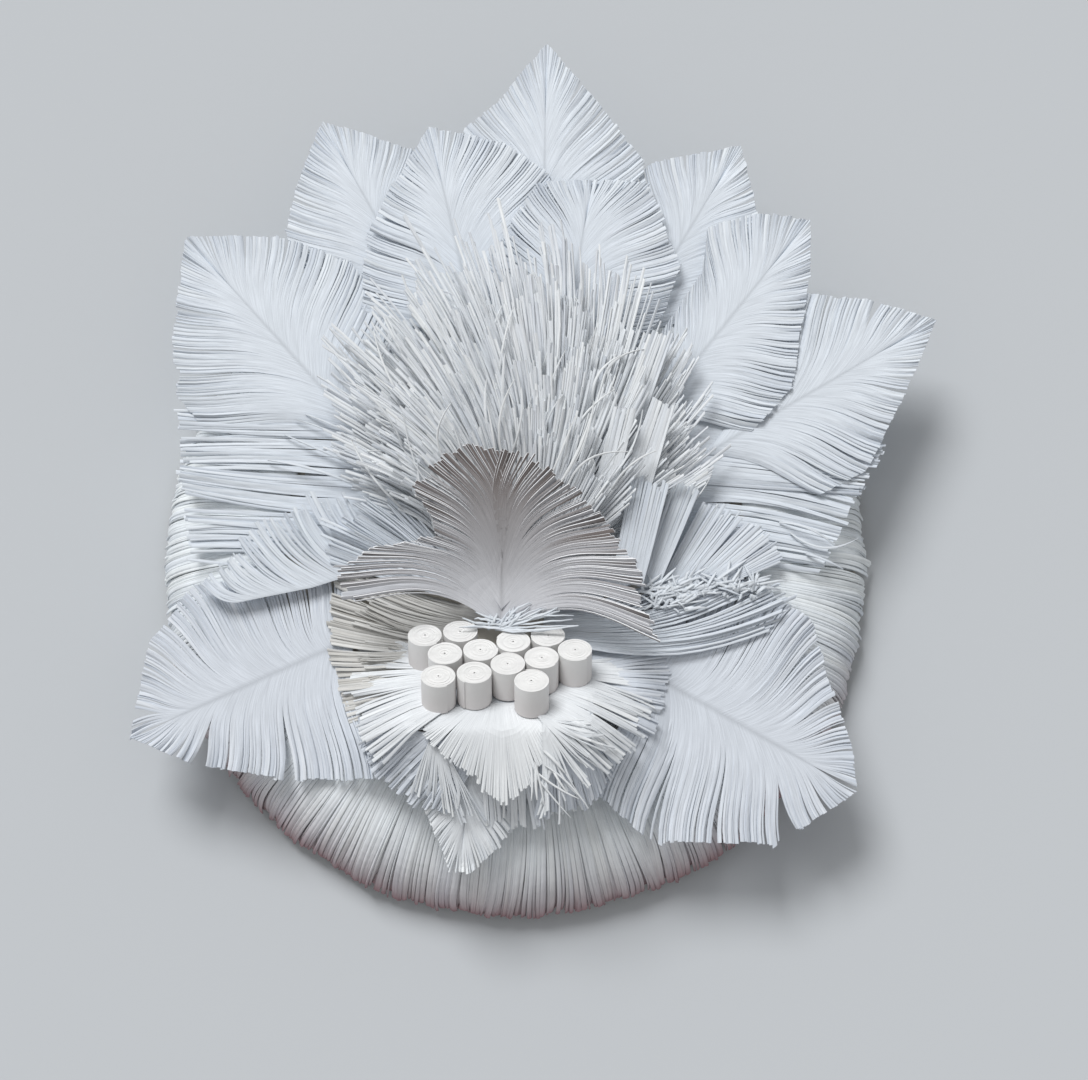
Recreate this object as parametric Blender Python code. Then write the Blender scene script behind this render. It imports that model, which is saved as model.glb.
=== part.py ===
"""Paper flower wall relief: fringe-cut petals, a mane of strands, a leaning hood and a bed of rolled
paper coils, glued in overlapping layers on a round base with a rounded rim.

Metres, +Z out of the flower's face, +Y towards its top, origin at the centre of the flat back.
Sizes below are in millimetres and are turned to metres where a mesh is made.
"""

import math

import bmesh
import bpy
import numpy as np
from mathutils import Matrix, Vector

MM = 0.001

# Paper: each fringed piece is modelled as a bundle-thick sheet with a running gap to the next one
SHEET = 0.3
GAP = 0.35
PITCH = 0.9

# Round base with a flat back and a rounded rim
BASE_RADIUS = 66.0
BASE_HEIGHT = 16.0
FLAT_RADIUS = 47.0
RIM_FOOT = 2.5
BASE_SIDES = 40
RIM_STEPS = 3

# Fringe that wraps the rim in two rings
RIM_BAND_RADIUS = 44.0
LOWER_RIM_STRANDS = 24
UPPER_RIM_STRANDS = 40
LOWER_RIM_TURN = 0.06
RIM_NARROWING = 0.30
# Layer number of the first sheet that lies over both rings
ON_RIM = 2.0 * (GAP + SHEET) / PITCH

# Sheets beyond the flat top fall away by this slope
OUTER_RADIUS = 50.0
OUTER_SLOPE = 0.035

# Throat of the flower: every inner piece fans out from here
THROAT = (-2.5, -13.0)
THROAT_RADIUS = 7.0
ROOT_OFFSET = 1.0
FAN_REACH = 45.0
FAN_SIDE = 0.55
FAN_TOP = 0.45
DROOP_START = 30.0

# Raised lip: a sloping bed for the coils, a ridge and a falling front
LIP_X = -2.5
LIP_HALF = 16.5
LIP_FADE = 15.0
BED_Y = -18.5
RIDGE_Y = -36.5
FOOT_Y = -60.0
LIP_RISE = 13.0
# Layers that the lip petal climbs over from the bed's back edge to the ridge, and its spring past the ridge
BED_LAYERS = 3.0
TONGUE_SPRING = 0.25
# The petal under the lip: its layer, and its spring away from the rim once it is clear of the lip
LOWEST_LAYER = 1.2
LOWEST_SPRING = 0.2
LOWEST_SPRING_Y = -50.0
# The strips beside the lip petal lie over the big lower petals and under the lip petal
LIP_STRIP_LAYER = 2.6
BED_LEFT_AT_BACK = LIP_X - LIP_HALF
BED_LEFT_AT_RIDGE = BED_LEFT_AT_BACK + 2.0
BED_RIGHT = LIP_X + LIP_HALF - 1.0
BED_STRANDS = 10
WEDGE_HALF = 14.0
WEDGE_FRONT = 2.5
WEDGE_BACK = 2.0

# The hood leans out over everything else: its layer at the throat and its rise away from it
HOOD_LAYER = 8.0
HOOD_RISE = 0.9
BRACT_LAYERS = 1.4

# Quilled coils
COIL_RADIUS = 3.1
COIL_LENGTH = 6.3
COIL_HOLE = 0.55
COIL_SLIT = 0.3
COIL_SKIN = 0.5
COIL_TURN_SEGMENTS = 10

WHITE = (0.80, 0.84, 0.89)
COOL_WHITE = (0.72, 0.76, 0.82)
SHADE_WHITE = (0.52, 0.50, 0.48)
WARM_WHITE = (0.70, 0.68, 0.63)
BLUSH_WHITE = (0.60, 0.52, 0.52)
CARD = (0.55, 0.50, 0.42)


def material(name, colour, roughness=0.85):
    made = bpy.data.materials.get(name)
    if made is None:
        made = bpy.data.materials.new(name)
        made.use_nodes = True
        shader = made.node_tree.nodes["Principled BSDF"]
        shader.inputs["Base Color"].default_value = (*colour, 1.0)
        shader.inputs["Roughness"].default_value = roughness
        shader.inputs["Metallic"].default_value = 0.0
    return made


def add_object(name, mesh, paper):
    mesh.materials.append(paper)
    mesh.shade_smooth()
    mesh.set_sharp_from_angle(angle=math.radians(35))
    made = bpy.data.objects.new(name, mesh)
    bpy.context.collection.objects.link(made)
    return made


def mesh_from(bm, name):
    bmesh.ops.recalc_face_normals(bm, faces=bm.faces[:])
    mesh = bpy.data.meshes.new(name)
    bm.to_mesh(mesh)
    bm.free()
    return mesh


def lip_height(x, y):
    """Height of the lip: a straight climb over the coil bed, a ridge, and a fall to the foot."""
    climb = (BED_Y - y) / (BED_Y - RIDGE_Y)
    fall = (y - FOOT_Y) / (RIDGE_Y - FOOT_Y)
    along = min(max(min(climb, fall), 0.0), 1.0)
    across = (LIP_HALF + LIP_FADE - abs(x - LIP_X)) / LIP_FADE
    return LIP_RISE * along * min(max(across, 0.0), 1.0)


def from_throat(start, end):
    """The root line of a piece that fans out from the throat, between two angles in degrees."""
    return arc(THROAT, THROAT_RADIUS + ROOT_OFFSET, start, end)


def sheet_height(x, y, layer, rise=0.0, droop=0.0):
    """Top of a sheet: the base, the lip, its layer in the pile, and its own tilt away from the throat."""
    z = BASE_HEIGHT - OUTER_SLOPE * max(math.hypot(x, y) - OUTER_RADIUS, 0.0) + lip_height(x, y)
    dx = x - THROAT[0]
    dy = y - THROAT[1]
    reach = math.hypot(dx, dy)
    facing = FAN_SIDE + FAN_TOP * dy / max(reach, 1e-6)
    out = max(reach - THROAT_RADIUS, 0.0)
    fan = FAN_REACH * (1.0 - math.exp(-out / FAN_REACH))
    return z + GAP + SHEET + PITCH * layer + rise * fan * facing - droop * max(reach - DROOP_START, 0.0)


def spread(points, count):
    """The count + 1 points that divide a polyline evenly by length."""
    points = np.array(points, float)
    steps = np.linalg.norm(np.diff(points, axis=0), axis=1)
    length = np.concatenate([[0.0], np.cumsum(steps)])
    at = np.linspace(0.0, length[-1], count + 1)
    return np.column_stack([np.interp(at, length, points[:, 0]), np.interp(at, length, points[:, 1])])


def arc(centre, radius, start, end, count=8):
    """Points on a circular arc, with its angles in degrees."""
    angles = np.radians(np.linspace(start, end, count + 1))
    return [(centre[0] + radius * math.cos(a), centre[1] + radius * math.sin(a)) for a in angles]


class Sheet:
    """A cut sheet drawn flat as strips and strands, lifted to its height and given its thickness."""

    def __init__(self, name, lift):
        self.name = name
        self.lift = lift
        self.bm = bmesh.new()
        self.seen = {}

    def vertex(self, point):
        key = (round(float(point[0]), 4), round(float(point[1]), 4))
        if key not in self.seen:
            z = self.lift(key[0], key[1])
            self.seen[key] = self.bm.verts.new((key[0] * MM, key[1] * MM, z * MM))
        return self.seen[key]

    def quad(self, a, b, c, d):
        corners = [self.vertex(p) for p in (a, b, c, d)]
        kept = [v for i, v in enumerate(corners) if v is not corners[i - 1]]
        if len(kept) > 2:
            self.bm.faces.new(kept)

    def strands(self, roots, tips, segments, narrowing, bow):
        """Strands between neighbouring cuts; each narrows towards its tip, so that the cuts open into slits."""
        for i in range(len(tips) - 1):
            last = (roots[i], roots[i + 1])
            for k in range(1, segments + 1):
                t = k / segments
                sides = []
                for j in (i, i + 1):
                    run = tips[j] - roots[j]
                    across = np.array((-run[1], run[0]))
                    sides.append(roots[j] + run * t + across * bow * math.sin(math.pi * t))
                middle = (sides[0] + sides[1]) / 2
                half = (sides[1] - sides[0]) / 2 * (1.0 - narrowing * t)
                row = (middle - half, middle + half)
                self.quad(last[0], last[1], row[1], row[0])
                last = row

    def finish(self, paper):
        """The sheet's thickness is straight down, so that piled sheets keep their gap on any slope."""
        made = bmesh.ops.extrude_face_region(self.bm, geom=self.bm.faces[:])
        lowered = [g for g in made["geom"] if isinstance(g, bmesh.types.BMVert)]
        bmesh.ops.translate(self.bm, verts=lowered, vec=(0.0, 0.0, -SHEET * MM))
        return add_object(self.name, mesh_from(self.bm, self.name), paper)


def lift_of(layer, rise=0.0, droop=0.0):
    return lambda x, y: sheet_height(x, y, layer, rise, droop)


def fringe(name, roots, tips, count, lift, paper, band=0.2, segments=2, narrowing=0.35, bow=0.0):
    """A strip with an uncut band along its root line and strands out to its tip line."""
    sheet = Sheet(name, lift)
    root = spread(roots, count)
    tip = spread(tips, count)
    cut = root + (tip - root) * band
    for i in range(count):
        sheet.quad(root[i], root[i + 1], cut[i + 1], cut[i])
    sheet.strands(cut, tip, segments, narrowing, bow)
    return sheet.finish(paper)


def petal(name, root, tip, left, right, count, lift, paper, band=0.18, spine_end=0.8, segments=1,
          narrowing=0.28, bow=0.0):
    """A petal with an uncut band along its spine and strands from the band to both cut edges."""
    sheet = Sheet(name, lift)
    root = np.array(root, float)
    tip = np.array(tip, float)
    spine = [root + (tip - root) * spine_end * i / count for i in range(count + 1)]
    for edge, side in ((left, 1.0), (right, -1.0)):
        ends = spread([*edge, tuple(tip)], count)
        cut = [spine[i] + (ends[i] - spine[i]) * band for i in range(count + 1)]
        for i in range(count):
            sheet.quad(spine[i], spine[i + 1], cut[i + 1], cut[i])
        sheet.strands(cut, ends, segments, narrowing, bow * side)
    return sheet.finish(paper)


def rim_point(t):
    """The base's rounded rim from its flat top (t = 0) down to its foot (t = 1), as radius and height."""
    angle = t * math.pi / 2
    radius = FLAT_RADIUS + (BASE_RADIUS - FLAT_RADIUS) * math.sin(angle)
    return radius, RIM_FOOT + (BASE_HEIGHT - RIM_FOOT) * math.cos(angle)


def base_form(paper):
    """A turned solid: flat back, short straight foot, rounded rim and flat top."""
    bm = bmesh.new()
    rim = [rim_point(k / RIM_STEPS) for k in range(RIM_STEPS + 1)]
    profile = [(0.0, BASE_HEIGHT), *rim, (BASE_RADIUS, 0.0), (0.0, 0.0)]
    verts = [bm.verts.new((r * MM, 0.0, z * MM)) for r, z in profile]
    edges = [bm.edges.new(pair) for pair in zip(verts, verts[1:])]
    bmesh.ops.spin(bm, geom=verts + edges, axis=(0, 0, 1), cent=(0, 0, 0), angle=math.tau,
                   steps=BASE_SIDES, use_merge=True)
    bmesh.ops.remove_doubles(bm, verts=bm.verts[:], dist=0.01 * MM)
    return add_object("base_form", mesh_from(bm, "base_form"), paper)


def rim_fringe(name, count, away, phase, paper):
    """A ring of strands that starts as a band on the flat top and wraps the rounded rim."""
    bm = bmesh.new()

    def ring(t, away_now):
        if t < 0:
            return RIM_BAND_RADIUS, BASE_HEIGHT + away_now
        radius, z = rim_point(t)
        angle = t * math.pi / 2
        return radius + away_now * math.sin(angle), z + away_now * math.cos(angle)

    stations = [-1.0, *(k / RIM_STEPS for k in range(RIM_STEPS + 1))]
    step = math.tau / count
    inner = []
    outer = []
    for k in range(count):
        rows_in = []
        rows_out = []
        for index, t in enumerate(stations):
            part = max(index - 1, 0) / RIM_STEPS
            half = step / 2 * (1.0 - RIM_NARROWING * part)
            for rows, away_now in ((rows_in, away), (rows_out, away + SHEET)):
                radius, z = ring(t, away_now)
                pair = []
                for side in (-1, 1):
                    a = phase + k * step + half * side
                    pair.append((radius * math.cos(a) * MM, radius * math.sin(a) * MM, z * MM))
                rows.append(pair)
        inner.append(rows_in)
        outer.append(rows_out)
    for k in range(count):
        grid_in = [[bm.verts.new(p) for p in pair] for pair in inner[k]]
        grid_out = [[bm.verts.new(p) for p in pair] for pair in outer[k]]
        for i in range(len(stations) - 1):
            a, b = grid_out[i], grid_out[i + 1]
            c, d = grid_in[i], grid_in[i + 1]
            bm.faces.new((a[0], b[0], b[1], a[1]))
            bm.faces.new((c[0], c[1], d[1], d[0]))
            if i > 0:
                bm.faces.new((a[0], c[0], d[0], b[0]))
                bm.faces.new((a[1], b[1], d[1], c[1]))
        first_out, first_in = grid_out[0], grid_in[0]
        last_out, last_in = grid_out[-1], grid_in[-1]
        bm.faces.new((first_out[0], first_out[1], first_in[1], first_in[0]))
        bm.faces.new((last_out[0], last_in[0], last_in[1], last_out[1]))
    bmesh.ops.remove_doubles(bm, verts=bm.verts[:], dist=0.005 * MM)
    return add_object(name, mesh_from(bm, name), paper)


def lip_wedge(paper):
    """The folded card wedge under the lip: it climbs under the coil bed and drops behind the ridge."""
    bm = bmesh.new()
    floor = BASE_HEIGHT + GAP
    front_y = RIDGE_Y - WEDGE_FRONT
    start_y = BED_Y - WEDGE_BACK
    crest = BASE_HEIGHT + lip_height(LIP_X, RIDGE_Y)
    start = BASE_HEIGHT + lip_height(LIP_X, start_y)
    section = [(start_y, floor), (start_y, start), (RIDGE_Y, crest), (front_y, floor)]
    corners = [bm.verts.new(((LIP_X - WEDGE_HALF) * MM, y * MM, z * MM)) for y, z in section]
    face = bm.faces.new(corners)
    made = bmesh.ops.extrude_face_region(bm, geom=[face])
    moved = [g for g in made["geom"] if isinstance(g, bmesh.types.BMVert)]
    bmesh.ops.translate(bm, verts=moved, vec=(2 * WEDGE_HALF * MM, 0.0, 0.0))
    return add_object("lip_wedge", mesh_from(bm, "lip_wedge"), paper)


def bed_lift(x, y):
    """The lip petal lies on the wedge at the throat, climbs over the lip's layers, and springs off the ridge."""
    climbed = min(max((BED_Y - y) / (BED_Y - RIDGE_Y), 0.0), 1.0)
    return sheet_height(x, y, BED_LAYERS * climbed) + TONGUE_SPRING * max(RIDGE_Y - y, 0.0)


def lowest_lift(x, y):
    """The petal under the lip follows it down and then springs away from the rim."""
    return sheet_height(x, y, LOWEST_LAYER) + LOWEST_SPRING * max(LOWEST_SPRING_Y - y, 0.0)


def bed_slope():
    return math.atan2(LIP_RISE + BED_LAYERS * PITCH, BED_Y - RIDGE_Y)


def lip_front(paper):
    """The lip petal: an uncut bed that carries the coils, folded over the ridge into a fringed tongue."""
    sheet = Sheet("lip_front", bed_lift)
    back = spread([(BED_LEFT_AT_BACK, BED_Y), (BED_RIGHT, BED_Y)], BED_STRANDS)
    ridge = spread([(BED_LEFT_AT_RIDGE, RIDGE_Y), (BED_RIGHT, RIDGE_Y)], BED_STRANDS)
    tips = spread([(-16.5, -38.0), (-14.5, -41.5), (-9.5, -46.0), (-2.0, -50.0), (3.0, -48.0), (9.0, -43.0),
                   (12.5, -38.0)], BED_STRANDS)
    for i in range(BED_STRANDS):
        sheet.quad(back[i], back[i + 1], ridge[i + 1], ridge[i])
    sheet.strands(ridge, tips, 2, 0.3, 0.0)
    return sheet.finish(paper)


def coil_mesh(name):
    """A strip wound from the hole to the skin: a round body with one spiral slit between its turns."""
    steps = 2 * COIL_TURN_SEGMENTS
    bm = bmesh.new()

    def slit(angle):
        start = COIL_HOLE + COIL_SKIN
        return start + (COIL_RADIUS - COIL_SKIN - start) * angle / math.tau

    inner = []
    outer = []
    for k in range(steps + 1):
        angle = 2 * math.tau * k / steps
        near = COIL_HOLE if angle < math.tau else slit(angle - math.tau) + COIL_SLIT / 2
        far = slit(angle) - COIL_SLIT / 2 if angle <= math.tau else COIL_RADIUS
        for row, radius in ((inner, near), (outer, far)):
            row.append(bm.verts.new((radius * math.cos(angle) * MM, radius * math.sin(angle) * MM, 0.0)))
    for k in range(steps):
        bm.faces.new((inner[k], outer[k], outer[k + 1], inner[k + 1]))
    made = bmesh.ops.extrude_face_region(bm, geom=bm.faces[:])
    raised = [g for g in made["geom"] if isinstance(g, bmesh.types.BMVert)]
    bmesh.ops.translate(bm, verts=raised, vec=(0.0, 0.0, COIL_LENGTH * MM))
    return mesh_from(bm, name)


# Coil centres on the bed, in coil pitches: across the bed, and up the bed from its front row
COIL_PITCH = 2 * COIL_RADIUS + GAP
COIL_X = -1.0
COIL_FRONT_Y = -32.0
COIL_PLACES = (
    (-1.95, 0.16), (-0.95, 0.30), (0.64, -0.04),
    (-0.03, 0.70), (0.93, 0.98), (1.87, 1.32), (-1.80, 1.16), (-0.80, 1.33),
    (-1.39, 2.16), (0.12, 1.70), (1.11, 1.97), (-2.38, 1.98),
)


def coils(paper):
    slope = bed_slope()
    up_bed = Vector((0.0, math.cos(slope), -math.sin(slope)))
    normal = Vector((0.0, math.sin(slope), math.cos(slope)))
    foot = Vector((COIL_X, COIL_FRONT_Y, bed_lift(COIL_X, COIL_FRONT_Y)))
    for number, (across, along) in enumerate(COIL_PLACES, start=1):
        name = f"coil_{number:02d}"
        coil = add_object(name, coil_mesh(name), paper)
        place = foot + Vector((across * COIL_PITCH, 0.0, 0.0)) + up_bed * (along * COIL_PITCH) + normal * GAP
        coil.rotation_mode = "QUATERNION"
        coil.rotation_quaternion = Matrix.Rotation(-slope, 3, "X").to_quaternion()
        coil.location = place * MM


def back_petals(paper):
    petal("petal_upper_left", (-12, 38), (-38, 86), [(-38, 50), (-45, 63), (-42, 75)],
          [(-8, 55), (-17, 72), (-20, 80), (-29, 83)], 7, lift_of(ON_RIM), paper)
    petal("petal_upper_right", (20, 40), (44, 81), [(16, 62), (22, 72), (26, 77), (35, 79)],
          [(42, 46), (48, 61), (46, 72)], 7, lift_of(ON_RIM), paper)
    petal("petal_top", (5, 38), (6, 102), [(-20, 60), (-10, 84), (-4, 89)],
          [(28, 58), (25, 77), (18, 87)], 8, lift_of(ON_RIM + 1), paper)
    petal("petal_left", (-28, 21), (-64, 62), [(-60, 24), (-65, 30), (-66, 41)],
          [(-22, 44), (-32, 57), (-46, 62)], 8, lift_of(ON_RIM + 1), paper)
    petal("petal_inner_left", (-6, 36), (-17, 84), [(-30, 46), (-29, 61), (-24, 72)],
          [(12, 58), (6, 75), (-3, 81)], 7, lift_of(ON_RIM + 2), paper)
    petal("petal_far_right", (36, 18), (81, 45), [(48, 42), (56, 50), (68, 49)],
          [(58, 10), (67, 15), (76, 33)], 8, lift_of(ON_RIM + 2), paper)
    petal("petal_inner_right", (8, 32), (15, 73), [(-6, 46), (-5, 58), (4, 72)],
          [(22, 36), (29, 46), (32, 56), (26, 72)], 7, lift_of(ON_RIM + 3), paper)
    petal("petal_right", (25, 24), (57, 65), [(28, 42), (36, 54), (37, 63), (46, 66)],
          [(45, 22), (53, 31), (57, 55)], 7, lift_of(ON_RIM + 3), paper)


def side_fringes(paper):
    fringe("left_side_fringe", [(-22, 27), (-23, -4)], [(-65, 28), (-64, 13), (-62, -2)], 8, lift_of(ON_RIM),
           paper, segments=1)
    fringe("right_side_fringe", [(26, -3), (27, 20)], [(58, -2), (63, 7), (67, 14)], 7, lift_of(ON_RIM), paper,
           segments=1)
    fringe("right_mid_fringe", [(29, 13), (33, 27)], [(66, 10), (71, 21)], 5, lift_of(ON_RIM + 1), paper,
           segments=1)


def lower_petals(paper):
    petal("lower_left_petal", (-30, -17), (-72, -36), [(-24, -45), (-43, -44), (-60, -41)],
          [(-30, -6), (-41, -4.5), (-61, -7), (-69, -18)], 10, lift_of(ON_RIM), paper, segments=2, bow=0.03)
    petal("lower_right_petal", (22, -22), (64, -46),
          [(27, -8), (44, -6), (56, -13), (63, -37)], [(14, -47), (26, -56), (49, -56)], 10, lift_of(ON_RIM), paper,
          segments=2, bow=0.03)


MANE_STRANDS = 12
MANE_ROWS = (
    (-0.1, 0.30, 34, 140, [(41, 15), (39, 27), (32, 46), (9, 66), (-14, 64), (-32, 51), (-39, 30), (-36, 17)]),
    (0.9, 0.38, 40, 140, [(36, 18), (34, 28), (29, 39), (10, 56), (-14, 54), (-32, 40), (-34, 14)]),
    (1.9, 0.48, 38, 136, [(32, 15), (28, 30), (10, 46), (-14, 45), (-29, 32), (-31, 14)]),
    (2.9, 0.60, 38, 136, [(27, 12), (24, 24), (10, 37), (-10, 37), (-24, 27), (-27, 13)]),
    (3.9, 0.76, 38, 136, [(21, 11), (18, 19), (9, 27), (-8, 28), (-18, 21), (-22, 12)]),
)


def mane(paper):
    for number, (layer, rise, start, end, tips) in enumerate(MANE_ROWS, start=1):
        fringe(f"mane_row_{number}", from_throat(start, end), tips, MANE_STRANDS,
               lift_of(layer, rise), paper, band=0.12, segments=3, narrowing=0.45, bow=0.02)


def hood(paper):
    """The leaning petal over the throat, with strands from its crease out to a round edge."""
    petal("hood_petal", (-2.5, -15.5), (-2, 15),
          [(-31, -14), (-34, -8), (-29, 2), (-19, 8), (-10, 13)],
          [(27.5, -21), (24, -8), (17, 2), (12, 8), (5, 13)], 10, lift_of(HOOD_LAYER, HOOD_RISE), paper,
          band=0.3, spine_end=0.42, segments=3, narrowing=0.3, bow=-0.05)
    fringe("hood_bract", [(-5, -15.5), (-2.5, -16), (0, -15.5)],
           [(-12, -14.5), (-8, -12), (-4, -10), (0, -9.5), (5, -11), (11, -14)], 6,
           lift_of(HOOD_LAYER + BRACT_LAYERS, HOOD_RISE), paper, segments=1)


def wings(paper):
    fringe("left_wing", from_throat(146, 186), [(-36, 11), (-52, 0), (-60, -9)], 8,
           lift_of(0.2, 0.36), paper, segments=3, bow=-0.05)
    fringe("right_shoulder_low", from_throat(8, 24), [(51, -3), (48, 2), (37, 8)], 5,
           lift_of(0.2, 0.20), paper, segments=3)
    fringe("right_shoulder_mid", from_throat(18, 34), [(36, 6), (33, 10), (30, 12)], 4,
           lift_of(1.2, 0.36), paper, segments=3)
    fringe("right_shoulder_high", from_throat(20, 34), [(30, 8), (26, 11), (22, 11)], 4,
           lift_of(2.2, 0.54), paper, segments=3)
    fringe("right_wing", from_throat(-12, 10), [(52, -12), (53, -7), (43, -5), (34, -4)], 7,
           lift_of(1.2, 0.60, 0.3), paper, segments=3, bow=-0.06)


def lip_fringes(paper):
    fringe("lip_left_upper", [(-18.5, -29), (-19.7, -18), (-18, -13)], [(-30, -31), (-34, -20), (-34, -7)], 7,
           lift_of(0), paper)
    fringe("lip_left_lower", [(-11, -41), (-17, -38), (-18.6, -29)],
           [(-12, -51), (-19, -50), (-25, -46), (-29, -38), (-29, -30)], 8, lift_of(LIP_STRIP_LAYER), paper)
    fringe("lip_right_upper", [(13.6, -17), (13.6, -32)], [(26, -13), (23, -21), (19, -32)], 6, lift_of(0), paper)
    fringe("lip_right_lower", [(14, -33), (12, -39), (5, -41)],
           [(20.5, -38.5), (17.5, -46), (12.5, -51), (4, -52)], 7, lift_of(LIP_STRIP_LAYER), paper)
    petal("lip_lowest", (-8, -40), (-9.5, -64), [(-20, -45), (-17, -55)], [(3, -47), (-1, -58)], 5,
          lowest_lift, paper)


def clear_scene():
    for old in list(bpy.data.objects):
        bpy.data.objects.remove(old, do_unlink=True)


def build():
    clear_scene()
    white = material("White paper", WHITE)
    cool = material("White paper in the open", COOL_WHITE)
    shade = material("White paper in shade", SHADE_WHITE)
    warm = material("Quilled paper", WARM_WHITE, 0.8)
    blush = material("Blush-tinted paper", BLUSH_WHITE)
    card = material("Grey card", CARD, 0.9)
    base_form(card)
    lip_wedge(card)
    rim_fringe("rim_fringe_lower", LOWER_RIM_STRANDS, GAP, LOWER_RIM_TURN, blush)
    rim_fringe("rim_fringe_upper", UPPER_RIM_STRANDS, 2 * GAP + SHEET, 0.0, blush)
    back_petals(white)
    side_fringes(white)
    lower_petals(cool)
    mane(cool)
    wings(white)
    lip_fringes(cool)
    lip_front(cool)
    coils(warm)
    hood(shade)


build()
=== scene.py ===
# %% [markdown]
# # A paper flower relief, strand by strand
#
# The real object is made of plain white paper. Each petal was cut into hundreds of narrow strands by hand,
# the petals were glued in overlapping layers on a round base, and small strips were rolled into coils for
# its heart. The solids of the part give each piece its place and outline. This lesson cuts every one of
# those sheets into its strands, winds the coils, and gives the papers their finishes.

# %% Load the part and keep its box
import math
from dataclasses import dataclass, replace
from types import SimpleNamespace

import bmesh
import bpy
import numpy as np
from mathutils import Matrix, Vector


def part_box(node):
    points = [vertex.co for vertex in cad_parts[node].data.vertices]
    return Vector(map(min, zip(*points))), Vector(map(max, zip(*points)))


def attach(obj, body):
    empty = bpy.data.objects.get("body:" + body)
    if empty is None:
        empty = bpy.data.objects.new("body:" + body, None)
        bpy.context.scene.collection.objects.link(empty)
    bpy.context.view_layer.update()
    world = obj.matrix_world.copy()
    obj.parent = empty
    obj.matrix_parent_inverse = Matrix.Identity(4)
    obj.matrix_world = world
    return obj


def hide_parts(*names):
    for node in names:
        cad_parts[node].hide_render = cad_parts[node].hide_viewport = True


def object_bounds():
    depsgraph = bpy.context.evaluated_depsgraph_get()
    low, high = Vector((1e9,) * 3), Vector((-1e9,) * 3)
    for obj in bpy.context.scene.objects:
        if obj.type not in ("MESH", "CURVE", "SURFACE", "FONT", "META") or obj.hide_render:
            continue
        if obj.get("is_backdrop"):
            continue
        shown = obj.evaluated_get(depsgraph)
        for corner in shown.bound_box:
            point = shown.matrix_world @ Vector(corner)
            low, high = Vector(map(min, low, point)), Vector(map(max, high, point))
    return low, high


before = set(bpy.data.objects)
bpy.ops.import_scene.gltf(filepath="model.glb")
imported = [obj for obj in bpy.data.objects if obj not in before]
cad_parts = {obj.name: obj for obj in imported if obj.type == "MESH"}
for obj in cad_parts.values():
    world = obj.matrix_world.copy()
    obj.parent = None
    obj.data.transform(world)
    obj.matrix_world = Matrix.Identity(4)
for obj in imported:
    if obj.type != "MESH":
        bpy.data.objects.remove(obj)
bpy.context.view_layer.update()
MM = 0.001
_, base_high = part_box("base_form")
BASE_RADIUS = base_high.x / MM
BASE_HEIGHT = base_high.z / MM
print(f"the base is {2 * BASE_RADIUS:.0f} mm across and {BASE_HEIGHT:.0f} mm high")

# %% [markdown]
# ## How high a sheet lies
#
# All the sheets follow one height field. It starts from the flat top of the base, adds the raised lip that
# carries the coils, and then each sheet's layer in the pile. A sheet that leans out of the flower's throat
# also rises with its distance from it. Because every sheet reads the same field, a pile of them never
# crosses.

# %% The sizes of the pile, in millimetres and layers
SHEET = 0.3                # a sheet's thickness in the solids
GAP = 0.35                 # the air under a sheet
PITCH = 0.9                # the height of one layer
OUTER_RADIUS = 50.0        # past this radius the sheets fall by the slope
OUTER_SLOPE = 0.035
RIM_BAND_RADIUS = 44.0     # the inner edge of the rim's uncut bands
THROAT = (-2.5, -13.0)
THROAT_RADIUS = 7.0
THROAT_SOFT = 5.0          # how softly the rise starts
FAN_REACH = 45.0           # the distance over which the rise levels off
FAN_SIDE = 0.55            # the rise's share to the sides
FAN_TOP = 0.45             # what it gains towards the top petal
DROOP_START = 30.0
LIP_X = -2.5
LIP_HALF = 16.5
LIP_FADE = 15.0
LIP_RISE = 13.0
BED_Y = -18.5              # the lip's slope starts here,
RIDGE_Y = -36.5            # has its ridge here
FOOT_Y = -60.0             # and its foot here
RIDGE_SOFT = 0.10
BED_LAYERS = 3.0
BED_LEFT_AT_BACK = LIP_X - LIP_HALF
BED_LEFT_AT_RIDGE = BED_LEFT_AT_BACK + 2.0
BED_RIGHT = LIP_X + LIP_HALF - 1.0
TONGUE_SPRING = 0.25       # how steeply the tongue springs off the ridge
LOWEST_LAYER = 1.2
LOWEST_SPRING = 0.2
LOWEST_SPRING_Y = -50.0
LIP_STRIP_LAYER = 2.6
HOOD_LAYER = 8.0
HOOD_RISE = 0.9
ON_RIM = 2.0 * (GAP + SHEET) / PITCH
print(f"a sheet on the rim's two rings lies {ON_RIM:.2f} layers of {PITCH} mm above the base")

# %% [markdown]
# The lip is written as a climb, a ridge and a fall. A soft minimum of the two slopes rounds the ridge,
# because folded paper never makes a knife edge. The rise out of the throat starts softly for the same
# reason.

# %% The height field
def lip_height(x, y):
    """The lip: a straight climb over the coil bed, a ridge, and a fall to its foot, fading out sideways. The
    ridge is rounded by a soft minimum of both: half of climb + fall - sqrt((climb - fall)² +
    RIDGE_SOFT²)."""
    climb = (BED_Y - y) / (BED_Y - RIDGE_Y)
    fall = (y - FOOT_Y) / (RIDGE_Y - FOOT_Y)
    across = (LIP_HALF + LIP_FADE - np.abs(x - LIP_X)) / LIP_FADE
    rounded = (climb + fall - np.sqrt((climb - fall) ** 2 + RIDGE_SOFT ** 2)) / 2
    return LIP_RISE * np.clip(rounded, 0, 1) * np.clip(across, 0, 1)


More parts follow.
